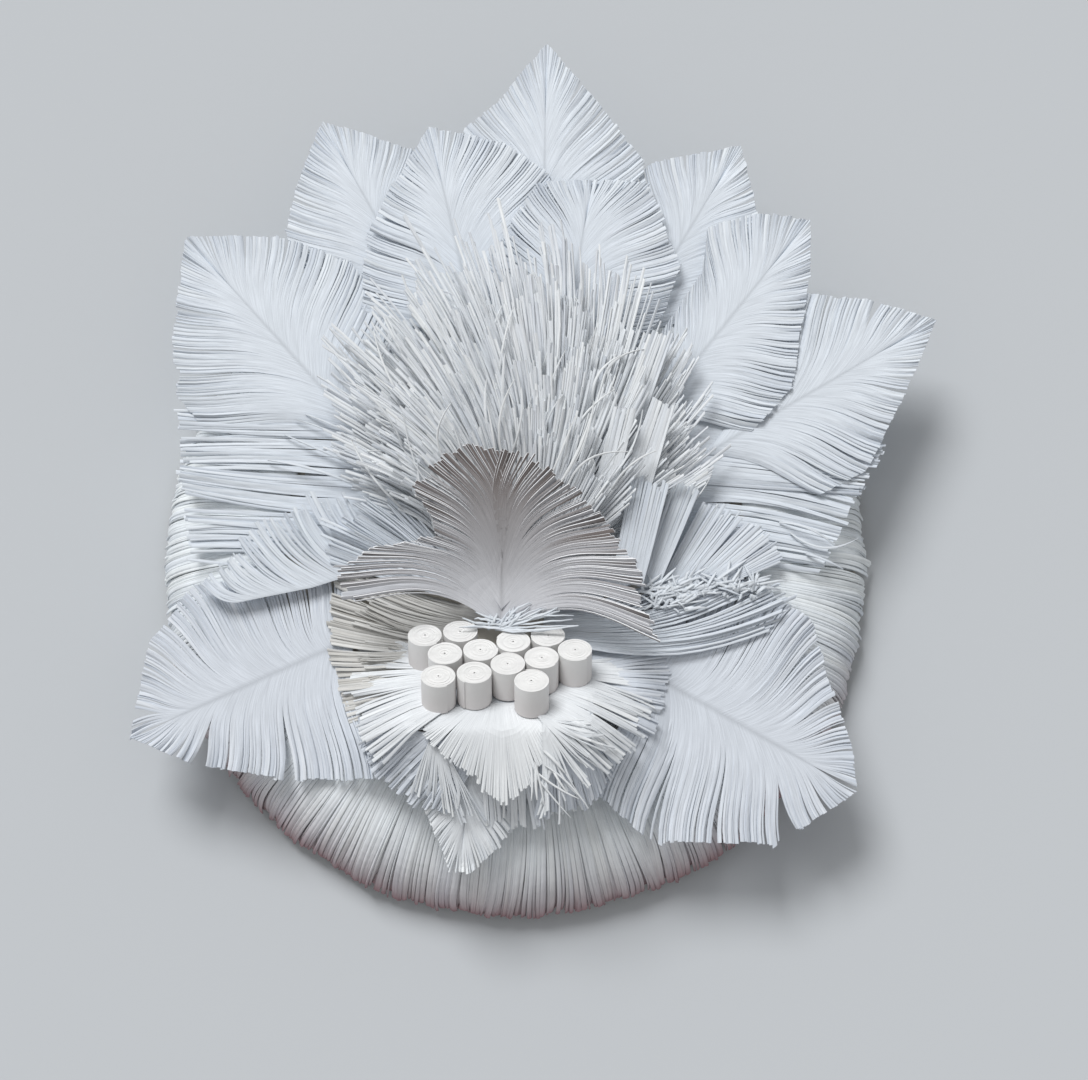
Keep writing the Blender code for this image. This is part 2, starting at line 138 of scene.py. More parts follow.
def sheet_height(x, y, layer, rise=0.0, droop=0.0):
    """Base height, less the outer slope, plus the lip, the layer's pitch and the rise away from the throat.

    The rise grows with the reach r from the throat as 1 - exp(-r / FAN_REACH), more towards +Y than
    sideways. It starts softly at the throat's edge: r there is half of d + sqrt(d² + THROAT_SOFT²), d the
    distance past it."""
    z = BASE_HEIGHT - OUTER_SLOPE * np.maximum(np.hypot(x, y) - OUTER_RADIUS, 0) + lip_height(x, y)
    up = y - THROAT[1]
    reach = np.hypot(x - THROAT[0], up)
    facing = FAN_SIDE + FAN_TOP * up / np.maximum(reach, 1e-6)
    past = reach - THROAT_RADIUS
    fan = FAN_REACH * (1 - np.exp(-(past + np.hypot(past, THROAT_SOFT)) / 2 / FAN_REACH))
    return z + GAP + SHEET + PITCH * layer + rise * fan * facing - droop * np.maximum(reach - DROOP_START, 0)


def lift_of(layer, rise=0.0, droop=0.0):
    """The height field of one layer, as a function of x and y alone."""
    return lambda x, y: sheet_height(x, y, layer, rise, droop)


print(f"the lip's ridge stands {lip_height(LIP_X, RIDGE_Y):.1f} mm above the base")

# %% [markdown]
# Two sheets leave the pile at their ends. The tongue springs off the lip's ridge, and the petal under it
# springs away from the rim, because paper that is only glued at its root keeps a little of its own
# stiffness.

# %% Sheets that spring away
def bed_lift(x, y):
    """The lip petal lies on the wedge, climbs over the lip's layers, and springs off the ridge."""
    climbed = np.clip((BED_Y - y) / (BED_Y - RIDGE_Y), 0, 1)
    return sheet_height(x, y, BED_LAYERS * climbed) + TONGUE_SPRING * np.maximum(RIDGE_Y - y, 0)


def lowest_lift(x, y):
    """The petal under the lip follows it down and then springs away from the rim."""
    return sheet_height(x, y, LOWEST_LAYER) + LOWEST_SPRING * np.maximum(LOWEST_SPRING_Y - y, 0)


def above(lift, more):
    """The same lift, with a little more height under the sheet."""
    return lambda x, y: lift(x, y) + more


print(f"the tongue's fold lies {bed_lift(LIP_X, RIDGE_Y):.1f} mm above the back")

# %% [markdown]
# ## Colours and paper
#
# Colours are written as sRGB hex values, as a painter would pick them, and one function turns them linear.
# One small function adds a shader node, sets it and links it, so that a material reads as a list of its
# steps.

# %% Colour and node helpers
def linear(code, alpha=1.0):
    """An sRGB hex colour as linear values: c / 12.92 below 0.04045, else ((c + 0.055) / 1.055) ** 2.4."""
    parts = np.array([int(code[i:i + 2], 16) for i in (1, 3, 5)]) / 255
    return (*np.where(parts <= 0.04045, parts / 12.92, ((parts + 0.055) / 1.055) ** 2.4), alpha)


def socket(sockets, name):
    """The socket of that name in use: a Mix node keeps one set of A and B for each kind of data."""
    return next(s for s in sockets if s.name == name and s.enabled)


def add(tree, kind, links=None, inputs=None, out=0, **settings):
    """Adds a shader node and returns one of its outputs. Settings are the node's own values, inputs its
    sockets' values, links its sockets' sources, and out the output's name or place."""
    node = tree.nodes.new("ShaderNode" + kind)
    for key, value in settings.items():
        setattr(node, key, value)
    for key, value in (inputs or {}).items():
        (socket(node.inputs, key) if isinstance(key, str) else node.inputs[key]).default_value = value
    for key, source in (links or {}).items():
        tree.links.new(source, socket(node.inputs, key) if isinstance(key, str) else node.inputs[key])
    return socket(node.outputs, out) if isinstance(out, str) else node.outputs[out]


print("sRGB #808080 is", round(float(linear("#808080")[0]), 3), "in linear light")

# %% [markdown]
# Uncoated white paper has no gloss. What the eye sees is its faint fibre, a slight change of tint from
# strand to strand, and the soft roll that the scissors give each cut strand. The fibre here is drawn at 0.35
# mm, coarser than real paper fibre, so that it shows at all. The strand's roll is a bump across the strand,
# from its own UV map: u runs across the strand from 0 to 1, and v runs along it in millimetres. Fine streaks
# follow the strands into the uncut paper too, where handling left small creases, and their low parts are
# darkened as painted shade. A narrow line of painted shade runs along each sheet's inner line, such as a
# spine.

# %% The surface of cut paper
FIBRE = 0.35 * MM
MOTTLE = 9.0 * MM
STREAK_ACROSS = 2.2        # streaks in the width of a strand
STREAK_ALONG = 0.18        # and in a millimetre of its length
# CREASE_SHADE is painted shade: how far from a sheet's inner line the colour darkens, as in a crease.
CREASE_SHADE = 0.9               # the spine's dull line, in mm from its middle
# The rim's low ends get a painted shade, tinted pink: it starts at the first y below and is full at the
# second.
LOW_SHADE_FROM = -12 * MM      # the stain starts at this y
LOW_SHADE_FULL = -45 * MM      # and is full at this one


def new_paper(name, roughness):
    """A new material with hardly any gloss, its node tree and its shader."""
    made = bpy.data.materials.new(name)
    made.use_nodes = True
    shader = made.node_tree.nodes["Principled BSDF"]
    shader.inputs["Roughness"].default_value = roughness
    shader.inputs["Specular IOR Level"].default_value = 0.3
    return made, made.node_tree, shader


def toned(tree, colour, factor, low, high, begin=0.0, end=1.0):
    """The colour times a level that runs from low to high while the factor runs from begin to end."""
    level = add(tree, "MapRange", {"Value": factor},
                {"From Min": begin, "From Max": end, "To Min": low, "To Max": high}, "Result")
    return add(tree, "Mix", {"A": colour, "B": level}, {"Factor": 1.0}, "Result", data_type="RGBA",
               blend_type="MULTIPLY")


def strand_surface(tree, where, uv, opened, crease_height_and_shade, roll):
    """Three bumps, each on the one before: the fibre, the small creases that follow the streaks, and the
    roll of the strand, which is (u - 0.5) squared across it, times opened, pressed down at both edges."""
    fibre = add(tree, "TexNoise", {"Vector": where}, {"Scale": 1 / FIBRE, "Detail": 3.0}, "Fac")
    grain = add(tree, "Bump", {"Height": fibre}, {"Strength": 0.35, "Distance": 0.05 * MM})
    creased = add(tree, "Bump", {"Height": crease_height_and_shade, "Normal": grain},
                  {"Strength": 0.6, "Distance": 0.12 * MM})
    across = add(tree, "SeparateXYZ", {"Vector": uv}, out="X")
    share = add(tree, "Math", {0: across}, operation="FRACT")
    centred = add(tree, "Math", {0: share}, {1: 0.5}, operation="SUBTRACT")
    arch = add(tree, "Math", {0: centred, 1: centred}, operation="MULTIPLY")
    arch = add(tree, "Math", {0: arch, 1: opened}, operation="MULTIPLY")
    return add(tree, "Bump", {"Height": arch, "Normal": creased},
               {"Strength": 1.0, "Distance": -4 * roll * MM})


print(f"the fibre is {FIBRE / MM:.2f} mm, the mottle {MOTTLE / MM:.0f} mm and the crease {CREASE_SHADE} mm wide")

# %% [markdown]
# The colour is built up in this order: the paper's own white, painted shade on the low ends, the mottle of a
# large sheet, the streaks that handling left, with painted shade in their creases, and a line of painted
# shade along the spine's crease.

# %% The fringed paper finish
def fringed_paper(name, light, shade, painted_low_shade=None, roll=0.08):
    """Cut paper: light and shade are mixed by the strand's own tint. blush is painted shade, tinted pink, on
    the ends that lie low, towards -Y, away from the key light: its share grows as the cube of how far the
    strand is open, and from LOW_SHADE_FROM to LOW_SHADE_FULL."""
    made, tree, shader = new_paper(name, roughness=0.85)
    where = add(tree, "TexCoord", out="Object")
    tint = add(tree, "Attribute", attribute_name="tint", out="Fac")
    colour = add(tree, "Mix", {"Factor": tint}, {"A": linear(shade), "B": linear(light)}, "Result",
                 data_type="RGBA")
    opened = add(tree, "Attribute", attribute_name="opened", out="Fac")
    # Painted shade, tinted pink, on the low ends towards -Y, which face away from the key light.
    if painted_low_shade:
        low = add(tree, "SeparateXYZ", {"Vector": where}, out="Y")
        low = add(tree, "MapRange", {"Value": low}, {"From Min": LOW_SHADE_FROM, "From Max": LOW_SHADE_FULL},
                  "Result")
        end = add(tree, "Math", {0: opened}, {1: 3.0}, operation="POWER")
        share = add(tree, "Math", {0: low, 1: end}, operation="MULTIPLY")
        colour = add(tree, "Mix", {"Factor": share, "A": colour}, {"B": linear(painted_low_shade)}, "Result",
                     data_type="RGBA")
    mottle = add(tree, "TexNoise", {"Vector": where}, {"Scale": 1 / MOTTLE, "Detail": 2.0}, "Fac")
    colour = toned(tree, colour, mottle, low=0.94, high=1.04)
    uv = add(tree, "UVMap", uv_map="strand", out="UV")
    stretched = add(tree, "Mapping", {"Vector": uv}, {"Scale": (STREAK_ACROSS, STREAK_ALONG, 1.0)})
    crease_height_and_shade = add(tree, "TexNoise", {"Vector": stretched}, {"Scale": 1.0, "Detail": 4.0}, "Fac")
    # The streaks darken the colour where they lie low, in their small creases: painted shade.
    colour = toned(tree, colour, crease_height_and_shade, low=0.80, high=1.02, begin=0.3, end=0.7)
    travel = add(tree, "SeparateXYZ", {"Vector": uv}, out="Y")
    # Painted shade along the spine's crease: darker within CREASE_SHADE mm of the inner line.
    colour = toned(tree, colour, travel, low=0.82, high=1.0, end=CREASE_SHADE)
    tree.links.new(colour, shader.inputs["Base Color"])
    tree.links.new(strand_surface(tree, where, uv, opened, crease_height_and_shade, roll), shader.inputs["Normal"])
    print(f"{name}: {len(tree.nodes)} nodes")
    return made

# %% [markdown]
# Paper that isn't cut into strands shows less: a soft mottle, the same fibre, and on a coil a small step of
# tint from one turn to the next. A coil's side also darkens towards its foot, a painted shade. The same
# function therefore makes the coils' strip, the bright cut edges of the hood, which are a painted highlight,
# and the grey board.

# %% The plain paper finish
PLAIN_MOTTLE = 1.2 * MM


def plain_paper(name, colour, mottle=0.05, foot=None):
    """Uncut paper or card: its colour with a soft mottle and a fine fibre bump. With foot, the attribute
    turn sets each turn's tint, and the attribute depth mixes in the foot's tone, a painted shade, from 0 at
    the top to 1 at the foot."""
    made, tree, shader = new_paper(name, roughness=0.8)
    where = add(tree, "TexCoord", out="Object")
    noise = add(tree, "TexNoise", {"Vector": where}, {"Scale": 1 / PLAIN_MOTTLE, "Detail": 3.0}, "Fac")
    level = add(tree, "MapRange", {"Value": noise}, {"To Min": 1 - mottle, "To Max": 1 + mottle}, "Result")
    colour = add(tree, "Mix", {"B": level}, {"Factor": 1.0, "A": linear(colour)}, "Result", data_type="RGBA",
                 blend_type="MULTIPLY")
    # Painted shade: the side darkens towards its foot, by the foot's tone.
    if foot:
        turn = add(tree, "Attribute", attribute_name="turn", out="Fac")
        colour = toned(tree, colour, turn, low=0.92, high=1.0)
        painted_foot_shade = add(tree, "Attribute", attribute_name="painted_foot_shade", out="Fac")
        colour = add(tree, "Mix", {"Factor": painted_foot_shade, "A": colour}, {"B": linear(foot)}, "Result",
                     data_type="RGBA")
    tree.links.new(colour, shader.inputs["Base Color"])
    fibre = add(tree, "TexNoise", {"Vector": where}, {"Scale": 1 / FIBRE, "Detail": 3.0}, "Fac")
    grain = add(tree, "Bump", {"Height": fibre}, {"Strength": 0.3, "Distance": 0.05 * MM})
    tree.links.new(grain, shader.inputs["Normal"])
    print(f"{name}: {len(tree.nodes)} nodes")
    return made

# %% [markdown]
# All of it is one kind of thing, uncoated white paper cut with scissors, and the eye still tells the sheets
# apart: the petals are a cool white, the fine mane's paper is brighter, painted light where light catches
# its many edges, the hood's strands stand on edge and turn dark towards their tips by painted shade, with a
# brighter paper on their cut edges as a painted highlight, the fold of the lip and the strips in the throat
# are dulled and a little warm by painted shade, and the rim's paper is painted lighter while its low ends
# get a painted shade tinted a faint dusty pink. Each is a light and a shade of paper.

# %% The papers of this flower
petal_paper = fringed_paper("Uncoated white paper, fringe cut", "#ECF2F8", "#D2DAE5")
lower_paper = fringed_paper("Uncoated white paper, fringe cut wide", "#E7ECF3", "#CAD2DD")
# The mane's paper is brighter than the petals': painted light where light catches its many edges.
mane_paper = fringed_paper("Uncoated white paper, fine cut, brightened as painted light", "#FAFDFF", "#DBE1E9")
# The hood's dark shade tone is painted shade on its strands' faces towards the tips.
hood_shade_paper = fringed_paper("Soft white paper, fine cut, painted darker towards its tips", "#E4E7ED", "#8A8280", roll=0.06)
# Painted highlight: the hood's cut edges get this brighter paper, as if light catches them.
edge_highlight_paper = plain_paper("Cut edge of white paper, painted as a highlight", "#F6F7FA")
# The throat strips' warm, dull tones are painted shade: they lie under the hood.
throat_shade_paper = fringed_paper("White paper, fine cut, painted in the throat's warm shade", "#E8E8E6", "#C3C1BC")
# The lip paper's shade tone is painted shade, on the bed around the coils and the tongue's root.
lip_paper = fringed_paper("Uncoated white paper, with painted shade at its fold", "#FAFDFF", "#D0D5DB")
# The rim paper is painted lighter, for sides that face away from the key light, and its low ends get painted
# shade.
rim_paper = fringed_paper("White paper, fringe cut and blushed", "#F8FDFF", "#E3EBF6", painted_low_shade="#A9858A",
                          roll=0.09)
# The coils' foot tone is painted shade, darker towards the bed.
coil_paper = plain_paper("White quilling strip, tightly wound", "#F2F2F1", 0.03, foot="#DAD6D5")
core_card = plain_paper("Grey board, plain", "#D6D1C6")
print("materials, the solids' own among them:", len(bpy.data.materials))

# %% [markdown]
# ## One sheet of strands
#
# A fringed sheet runs from an inner line, such as a petal's spine, to an outer line, its cut edge. Cuts
# start part of the way out, so the sheet stays whole along its spine. Past its start each cut opens, and the
# strands sway, tilt and lift a little, in small bundles, because fingers and glue pull neighbours together.
# The whole sheet is one array of points: strand, side, station along the strand. The settings of a cut say
# how tidy the hand was.

# %% The look of a cut
@dataclass
class Cut:
    """How a sheet is cut. Lengths are in millimetres, shares run from 0 at the inner line to 1 at the tips.

    pitch is a strand's width and steps its number of quads. start, start_turn and start_spread say where the
    cuts begin, gap how wide they open, taper how strands narrow. cant and tilt turn strands on edge: cant
    all of them one way, tilt at random. lift, sway, wave, belly and bend move them at random, up or
    sideways, and bundle and clump pull neighbours together. short and ragged shorten them. bow, turn, lean,
    curl and drop shape the whole sheet. tint is the share of light paper at the inner line and fade what it
    loses towards the far tips."""
    pitch: float = 0.68
    steps: int = 8
    start: float = 0.25
    start_turn: float = 0.0
    start_spread: float = 0.12
    gap: float = 0.07
    cant: float = 0.0
    tilt: float = 0.40
    lift: float = 0.18
    sway: float = 0.12
    bundle: int = 4
    clump: float = 0.08
    short: float = 0.02
    ragged: float = 0.0
    bow: float = 0.0
    turn: float = 0.0
    lean: float = 0.0
    curl: float = 0.0
    wave: float = 0.0
    belly: float = 0.0
    bend: float = 0.0
    taper: float = 0.0
    drop: float = 0.0
    tint: float = 0.60
    # fade is painted shade: the tint that a sheet loses towards its far tips. Below nought it darkens the
    # root instead.
    fade: float = 0.0


print(f"a plain cut has strands {Cut.pitch} mm wide, open from {Cut.start} of their length")

# %% [markdown]
# Three small tools serve every sheet. Lines are walked by length, so that strands stay evenly spaced.
# Bundles pull a few neighbours towards their middle, as fingers do. Slow noise changes over many strands, as
# a hand does that cuts a little longer for a while and then a little shorter.

# %% Lines, bundles and slow noise
def along_line(points, at):
    """The points at the given shares of a polyline's length."""
    points = np.asarray(points, float)
    steps = np.linalg.norm(np.diff(points, axis=0), axis=1)
    share = np.concatenate([[0.0], np.cumsum(steps)]) / steps.sum()
    return np.column_stack([np.interp(at, share, points[:, k]) for k in range(2)])


def line_length(points):
    """The length of a polyline."""
    return np.linalg.norm(np.diff(np.asarray(points, float), axis=0), axis=1).sum()


def bundle_pull(count, size, rng):
    """How far each strand stands from the middle of its bundle, in strands, and its bundle's number."""
    edges = np.cumsum(rng.integers(max(size // 2, 1), 2 * size, count))
    number = np.searchsorted(edges, np.arange(count), side="right")
    ends = np.concatenate([[0], edges])
    middle = (ends[number] + ends[number + 1] - 1) / 2
    return middle - np.arange(count), number


def slow_noise(count, every, rng):
    """Normal noise that changes slowly: one draw for every few strands, joined by straight lines."""
    draws = rng.normal(0, 1, count // every + 2)
    return np.interp(np.arange(count) / every, np.arange(len(draws)), draws)


def each(values):
    """One value for each strand, shaped to act on its sides and stations."""
    return np.asarray(values)[:, None, None]


print("a line of 3 mm and 4 mm is", line_length([(0, 0), (3, 0), (3, 4)]), "mm long")

# %% [markdown]
# What the hand does is drawn once for each strand, and partly for each bundle, before any shape is made.
# Every draw comes from the sheet's own seeded generator, so the flower is the same in every run.

# %% What the hand does to each strand
SLIT_REACH = 5             # strands over which a wide slit pushes its neighbours aside
RAGGED_EVERY = 9           # strands between two draws of the slow noise that shortens them


def bundled(spread, own, number, rng):
    """Normal noise: one draw for each strand's bundle, and one of its own that is own times as wide."""
    return rng.normal(0, spread, number.max() + 1)[number] + rng.normal(0, own * spread, len(number))


def hand_moves(cut, count, rng):
    """How each strand of a row sways, rises, tilts, is cut short, waves, bends and bellies: see Cut."""
    pull, number = bundle_pull(count, cut.bundle, rng)
    bundles = number.max() + 1
    sway = cut.clump * pull * cut.pitch + rng.normal(0, cut.sway, bundles)[number]
    sway += rng.normal(0, 0.4 * cut.sway, count)
    rise = bundled(cut.lift, 0.6, number, rng)
    tilt = rng.normal(cut.cant, cut.tilt, count)
    short = -np.abs(rng.normal(0, cut.short, bundles)[number]) + rng.normal(0, 0.4 * cut.short, count)
    short -= cut.ragged * np.abs(slow_noise(count, RAGGED_EVERY, rng))
    wave = rng.normal(0, cut.wave, count)
    phase = rng.uniform(0, math.tau, bundles)[number] + rng.normal(0, 0.5, count)
    bend = bundled(cut.bend, 0.4, number, rng)
    belly = bundled(cut.belly, 0.3, number, rng)
    return SimpleNamespace(sway=sway, rise=rise, tilt=tilt, short=short, wave=wave, phase=phase, bend=bend,
                           belly=belly)


def slit_push(place, wide, count):
    """How far a slit pushes each strand aside: half its width * exp(-strands away / SLIT_REACH)."""
    off = np.arange(count) + 0.5 - place * count
    return np.sign(off) * wide / 2 * np.exp(-np.abs(off) / SLIT_REACH)


print(f"a slit of 2 mm pushes the strand beside it {slit_push(0.0, 2.0, 8)[0]:.2f} mm aside")

# %% [markdown]
# The lines of the cuts come next. They run from the inner line to the outer one at uneven distances, each
# bows a little to one side, and each leans along the spine, because a petal's strands point towards its tip.

# %% The lines of the cuts
CUT_JITTER = 0.25          # how far a cut may miss its place, in strands
FIRST_CUT = 0.02           # no cut starts before this share of its line
LAST_CUT = 0.92            # or after this one
GAP_SHAPE = 1.2            # of a gamma distribution: many narrow gaps and a few wide ones
LEAN_PEAK = 27 / 4         # makes LEAN_PEAK * t * (1 - t) ** 2 peak at 1


def cut_lines(inner, outer, cut, rng):
    """Each line's place along the row, its first point, its run to the outer line, the share of it at which
    its cut starts, and the width of its gap. The start changes by start_turn from the first line to the
    last."""
    count = max(int(round(line_length(outer) / cut.pitch)), 2)
    at = np.linspace(0, 1, count + 1)
    at[1:-1] += rng.uniform(-CUT_JITTER, CUT_JITTER, count - 1) / count
    begin, end = along_line(inner, at), along_line(outer, at)
    start = cut.start + cut.start_turn * at + rng.normal(0, cut.start_spread, count + 1)
    width = cut.gap * rng.gamma(GAP_SHAPE, 1 / GAP_SHAPE, count + 1)
    return at, begin, end - begin, np.clip(start, FIRST_CUT, LAST_CUT), width


def bowed(inner, at, begin, run, side, along, cut):
    """The strands' sides on the flat sheet: begin + run * along, plus bow * length * sin(pi * along) across
    it and lean * length * LEAN_PEAK * along * (1 - along) ** 2 along the spine. The bow changes evenly by
    turn from the first line to the last."""
    across = np.column_stack([-run[:, 1], run[:, 0]])
    spine = np.asarray(inner[-1], float) - np.asarray(inner[0], float)
    spine = spine / max(np.linalg.norm(spine), 1e-9)
    flat = begin[side][:, :, None] + run[side][:, :, None] * along[..., None]
    bow = (cut.bow + cut.turn * at)[side][..., None]
    flat = flat + across[side][:, :, None] * (bow * np.sin(np.pi * along))[..., None]
    length = np.linalg.norm(run, axis=1)[side][..., None]
    return flat + spine * (cut.lean * length * LEAN_PEAK * along * (1 - along) ** 2)[..., None]


print(f"the cuts start between {FIRST_CUT} and {LAST_CUT} of their lines")

# %% [markdown]
# Now the sheet itself. Where a strand is still part of the uncut sheet, nothing may move it away from its
# neighbour, so every random move is multiplied by opened, which is 0 before the cut and grows to 1 at the
# tip.

# %% A sheet cut into strands
WAVE_TURN = 4.0            # radians of a wave along a strand
MOST_GAP = 0.42            # the most that a gap takes from each side of a strand, of its width,
MOST_INSET = 0.48          # and the most that it loses with its taper
DROP_REACH = 3.0           # strands from a sheet's end over which it drops
TINT_NOISE = 0.22


def strands(inner, outer, lift, cut, rng, gaps=()):
    """The points of one fringed sheet, as an array of strand, side, station and coordinate, with its tints.

    Past a cut's start, opened = (along - start) / (1 - start). A strand's sides move together by its gap
    times opened, and both sway by opened ** 1.5, wave by opened * sin(phase + WAVE_TURN * along), bend by
    length * opened ** 2, belly by sin(pi * along) * opened ** 0.5, and lift by opened, while its tilt, cant
    plus noise, raises one side and lowers the other. curl adds opened ** 3 of itself to the height. The
    first and last strands drop on to the sheet below. gaps are wide slits, each given as its share of the
    outer line and its width. The tint falls by fade * (0.3 + 0.7 * place along the row) * distance from the
    root / the greatest distance."""
    at, begin, run, start, width = cut_lines(inner, outer, cut, rng)
    count = len(at) - 1
    hand = hand_moves(cut, count, rng)
    for place, wide in gaps:
        hand.sway += slit_push(place, wide, count)
    border = np.minimum(np.arange(count + 1), count - np.arange(count + 1))
    drop = cut.drop * np.exp(-border / DROP_REACH)
    side = np.stack([np.arange(count), np.arange(count) + 1], axis=1)
    station = np.linspace(0, 1, cut.steps + 1)
    opened = np.clip((station - start[side][..., None]) / (1 - start[side][..., None]), 0, 1)
    along = station + each(hand.short) * opened
    flat = bowed(inner, at, begin, run, side, along, cut)
    length = np.linalg.norm(run, axis=1)[side][..., None]
    ribbon = flat[:, 1] - flat[:, 0]
    wide = np.linalg.norm(ribbon, axis=-1)
    unit = ribbon / np.maximum(wide, 1e-6)[..., None]
    sign = np.array([1.0, -1.0])[None, :, None]
    inset = np.minimum(width[side][..., None] * opened, MOST_GAP * wide[:, None])
    inset = inset + 0.5 * wide[:, None] * cut.taper * np.clip(along, 0, 1) ** 3 * (opened > 0)
    moved = sign * np.minimum(inset, MOST_INSET * wide[:, None]) + each(hand.sway) * opened ** 1.5
    moved = moved + each(hand.wave) * opened * np.sin(each(hand.phase) + WAVE_TURN * along)
    moved = moved + each(hand.bend) * length * opened ** 2
    moved = moved + each(hand.belly) * np.sin(np.pi * along) * opened ** 0.5
    flat = flat + unit[:, None] * moved[..., None]
    z = lift(flat[..., 0], flat[..., 1])
    z = z + each(hand.rise) * opened - sign * each(hand.tilt) * wide[:, None] / 2 * opened
    z = z + cut.curl * opened ** 3 - drop[side][..., None]
    points = np.concatenate([flat, z[..., None]], axis=-1)
    # Painted shade: the tint falls by fade towards the far tips, or rises there where fade is below nought.
    far = np.linalg.norm(flat - np.asarray(inner[0], float), axis=-1)
    fade = cut.fade * each(0.3 + 0.7 * at[:-1]) * far / far.max()
    tint = cut.tint - fade + each(rng.normal(0, TINT_NOISE, count)) * opened
    return points, np.clip(tint, 0, 1), opened, along * length


print("a sheet is an array of strand, side, station and coordinate, with its tint and how far it is open")

# %% [markdown]
# A few strands always come loose: they cross their neighbours in a long arch. Each is a narrow ribbon along
# a parabola, and it goes into the same mesh as the sheet that it was cut from.

# %% Loose strands
CLEAR = 0.15               # how high a loose strand lies above its sheet, at least
# Painted highlight: loose strands are tinted mostly light, as if they catch the light.
LOOSE_HIGHLIGHT_TINT = 0.85          # most of them catch the light


def loose(starts, ends, lift, rng, width=0.45, arch=0.12, high=1.2, steps=10, kink=0.0):
    """Ribbons from starts to ends. Each is pushed sideways by arch * its length * 4 t (1 - t), with its own
    sign and share of arch, stands above its sheet by high * 4 t (1 - t) at most, and narrows from its middle
    to its tip. kink moves its inner stations at random, in mm: a few steps with a kink make a crumpled
    strand."""
    starts, ends = np.asarray(starts, float), np.asarray(ends, float)
    count = len(starts)
    run = ends - starts
    length = np.linalg.norm(run, axis=1)
    unit = run / length[:, None]
    across = np.column_stack([-unit[:, 1], unit[:, 0]])
    t = np.linspace(0, 1, steps + 1)
    hump = 4 * t * (1 - t)
    side_push = (rng.normal(0, arch, count) * length)[:, None] * hump
    middle = starts[:, None] + run[:, None] * t[:, None] + across[:, None] * side_push[..., None]
    middle = middle + kink * rng.normal(0, 1, (count, steps + 1, 2)) * (hump > 0)[:, None]
    half = width / 2 * rng.uniform(0.7, 1.2, count)[:, None] * (1 - 0.6 * np.clip(2 * t - 1, 0, 1) ** 2)
    sign = np.array([1.0, -1.0])[None, :, None]
    flat = middle[:, None] + across[:, None, None] * (sign * half[:, None])[..., None]
    z = lift(middle[..., 0], middle[..., 1]) + CLEAR + rng.uniform(0.3, 1.0, count)[:, None] * high * hump
    z = z + kink * np.abs(rng.normal(0, 1, (count, steps + 1)))
    z = z[:, None] + sign * rng.normal(0, 0.3, count)[:, None, None] * half[:, None]
    points = np.concatenate([flat, z[..., None]], axis=-1)
    tint = np.clip(rng.normal(LOOSE_HIGHLIGHT_TINT, 0.15, count), 0, 1)[:, None, None] * np.ones_like(z)
    travel = np.broadcast_to(t * length[:, None], (count, steps + 1))[:, None] * np.ones_like(z)
    return points, tint, np.ones_like(z), travel


def scattered(near, far, count, reach, turn, rng):
    """Starts and ends of loose strands over a sheet that runs from one line to another: each lies along the
    run there, turned by normal noise in radians, and reach gives its shortest and longest length."""
    at = rng.uniform(0, 1, count)
    begin, end = along_line(near, at), along_line(far, at)
    run = end - begin
    span = np.linalg.norm(run, axis=1)
    length = rng.uniform(*reach, count)
    start = begin + run * (rng.uniform(0, 1, count) * np.clip(1 - length / span, 0, 1))[:, None]
    angle = np.arctan2(run[:, 1], run[:, 0]) + rng.normal(0, turn, count)
    return start, start + length[:, None] * np.column_stack([np.cos(angle), np.sin(angle)])


print("loose strands are ready: a narrow ribbon on a parabola each")

# %% [markdown]
# Next, the arrays become one mesh. Each strand is a row of quads, and the tints and the UV map go with it.
# The UV map starts every strand at a whole number of its own, so that the streaks differ from one strand to
# the next.

# %% From strands to a mesh
STRAND_U = (0.001, 0.999)  # just inside a whole number, so that FRACT never wraps round
UV_STEP = 7.0              # how far apart the strands lie in the pattern


def note(mesh, key, values):
    """Stores one number for each point of the mesh, for the paper's shader to read."""
    attribute = mesh.attributes.new(key, "FLOAT", "POINT")
    attribute.data.foreach_set("value", values.astype(np.float32))


def sheet_mesh(name, sheets):
    """One mesh of all the sheets: each strand is a row of quads, turned so that its face looks up."""
    points, quads, tints, opened, uvs = [], [], [], [], []
    total = 0
    for grid, tint, open_now, travel in sheets:
        count, _, stations, _ = grid.shape
        index = total + np.arange(count * 2 * stations).reshape(count, 2, stations)
        left, right = index[:, 0], index[:, 1]
        quad = np.stack([left[:, :-1], right[:, :-1], right[:, 1:], left[:, 1:]], axis=-1)
        step = grid[:, 0, 1:, :2] - grid[:, 0, :-1, :2]
        over = grid[:, 1, :-1, :2] - grid[:, 0, :-1, :2] + grid[:, 1, 1:, :2] - grid[:, 0, 1:, :2]
        turned = (over[..., 0] * step[..., 1] - over[..., 1] * step[..., 0]).sum() < 0
        u = np.broadcast_to(np.array(STRAND_U)[None, :, None], (count, 2, stations))
        u = u + UV_STEP * each(np.arange(count))
        uv = np.stack([u, np.broadcast_to(travel, u.shape)], axis=-1).reshape(-1, 2)
        if turned:
            quad = quad[..., ::-1]
        uvs.append(uv[(quad - total).reshape(-1)])
        quads.append(quad.reshape(-1, 4))
        points.append(grid.reshape(-1, 3) * MM)
        tints.append(np.broadcast_to(tint, (count, 2, stations)).reshape(-1))
        opened.append(np.broadcast_to(open_now, (count, 2, stations)).reshape(-1))
        total += count * 2 * stations
    mesh = bpy.data.meshes.new(name)
    mesh.from_pydata(np.concatenate(points), [], np.concatenate(quads))
    layer = mesh.uv_layers.new(name="strand")
    layer.uv.foreach_set("vector", np.concatenate(uvs).astype(np.float32).reshape(-1))
    note(mesh, "tint", np.concatenate(tints))
    note(mesh, "opened", np.concatenate(opened))
    return mesh


print("a strand's place in the pattern is", UV_STEP, "away from the next one's")

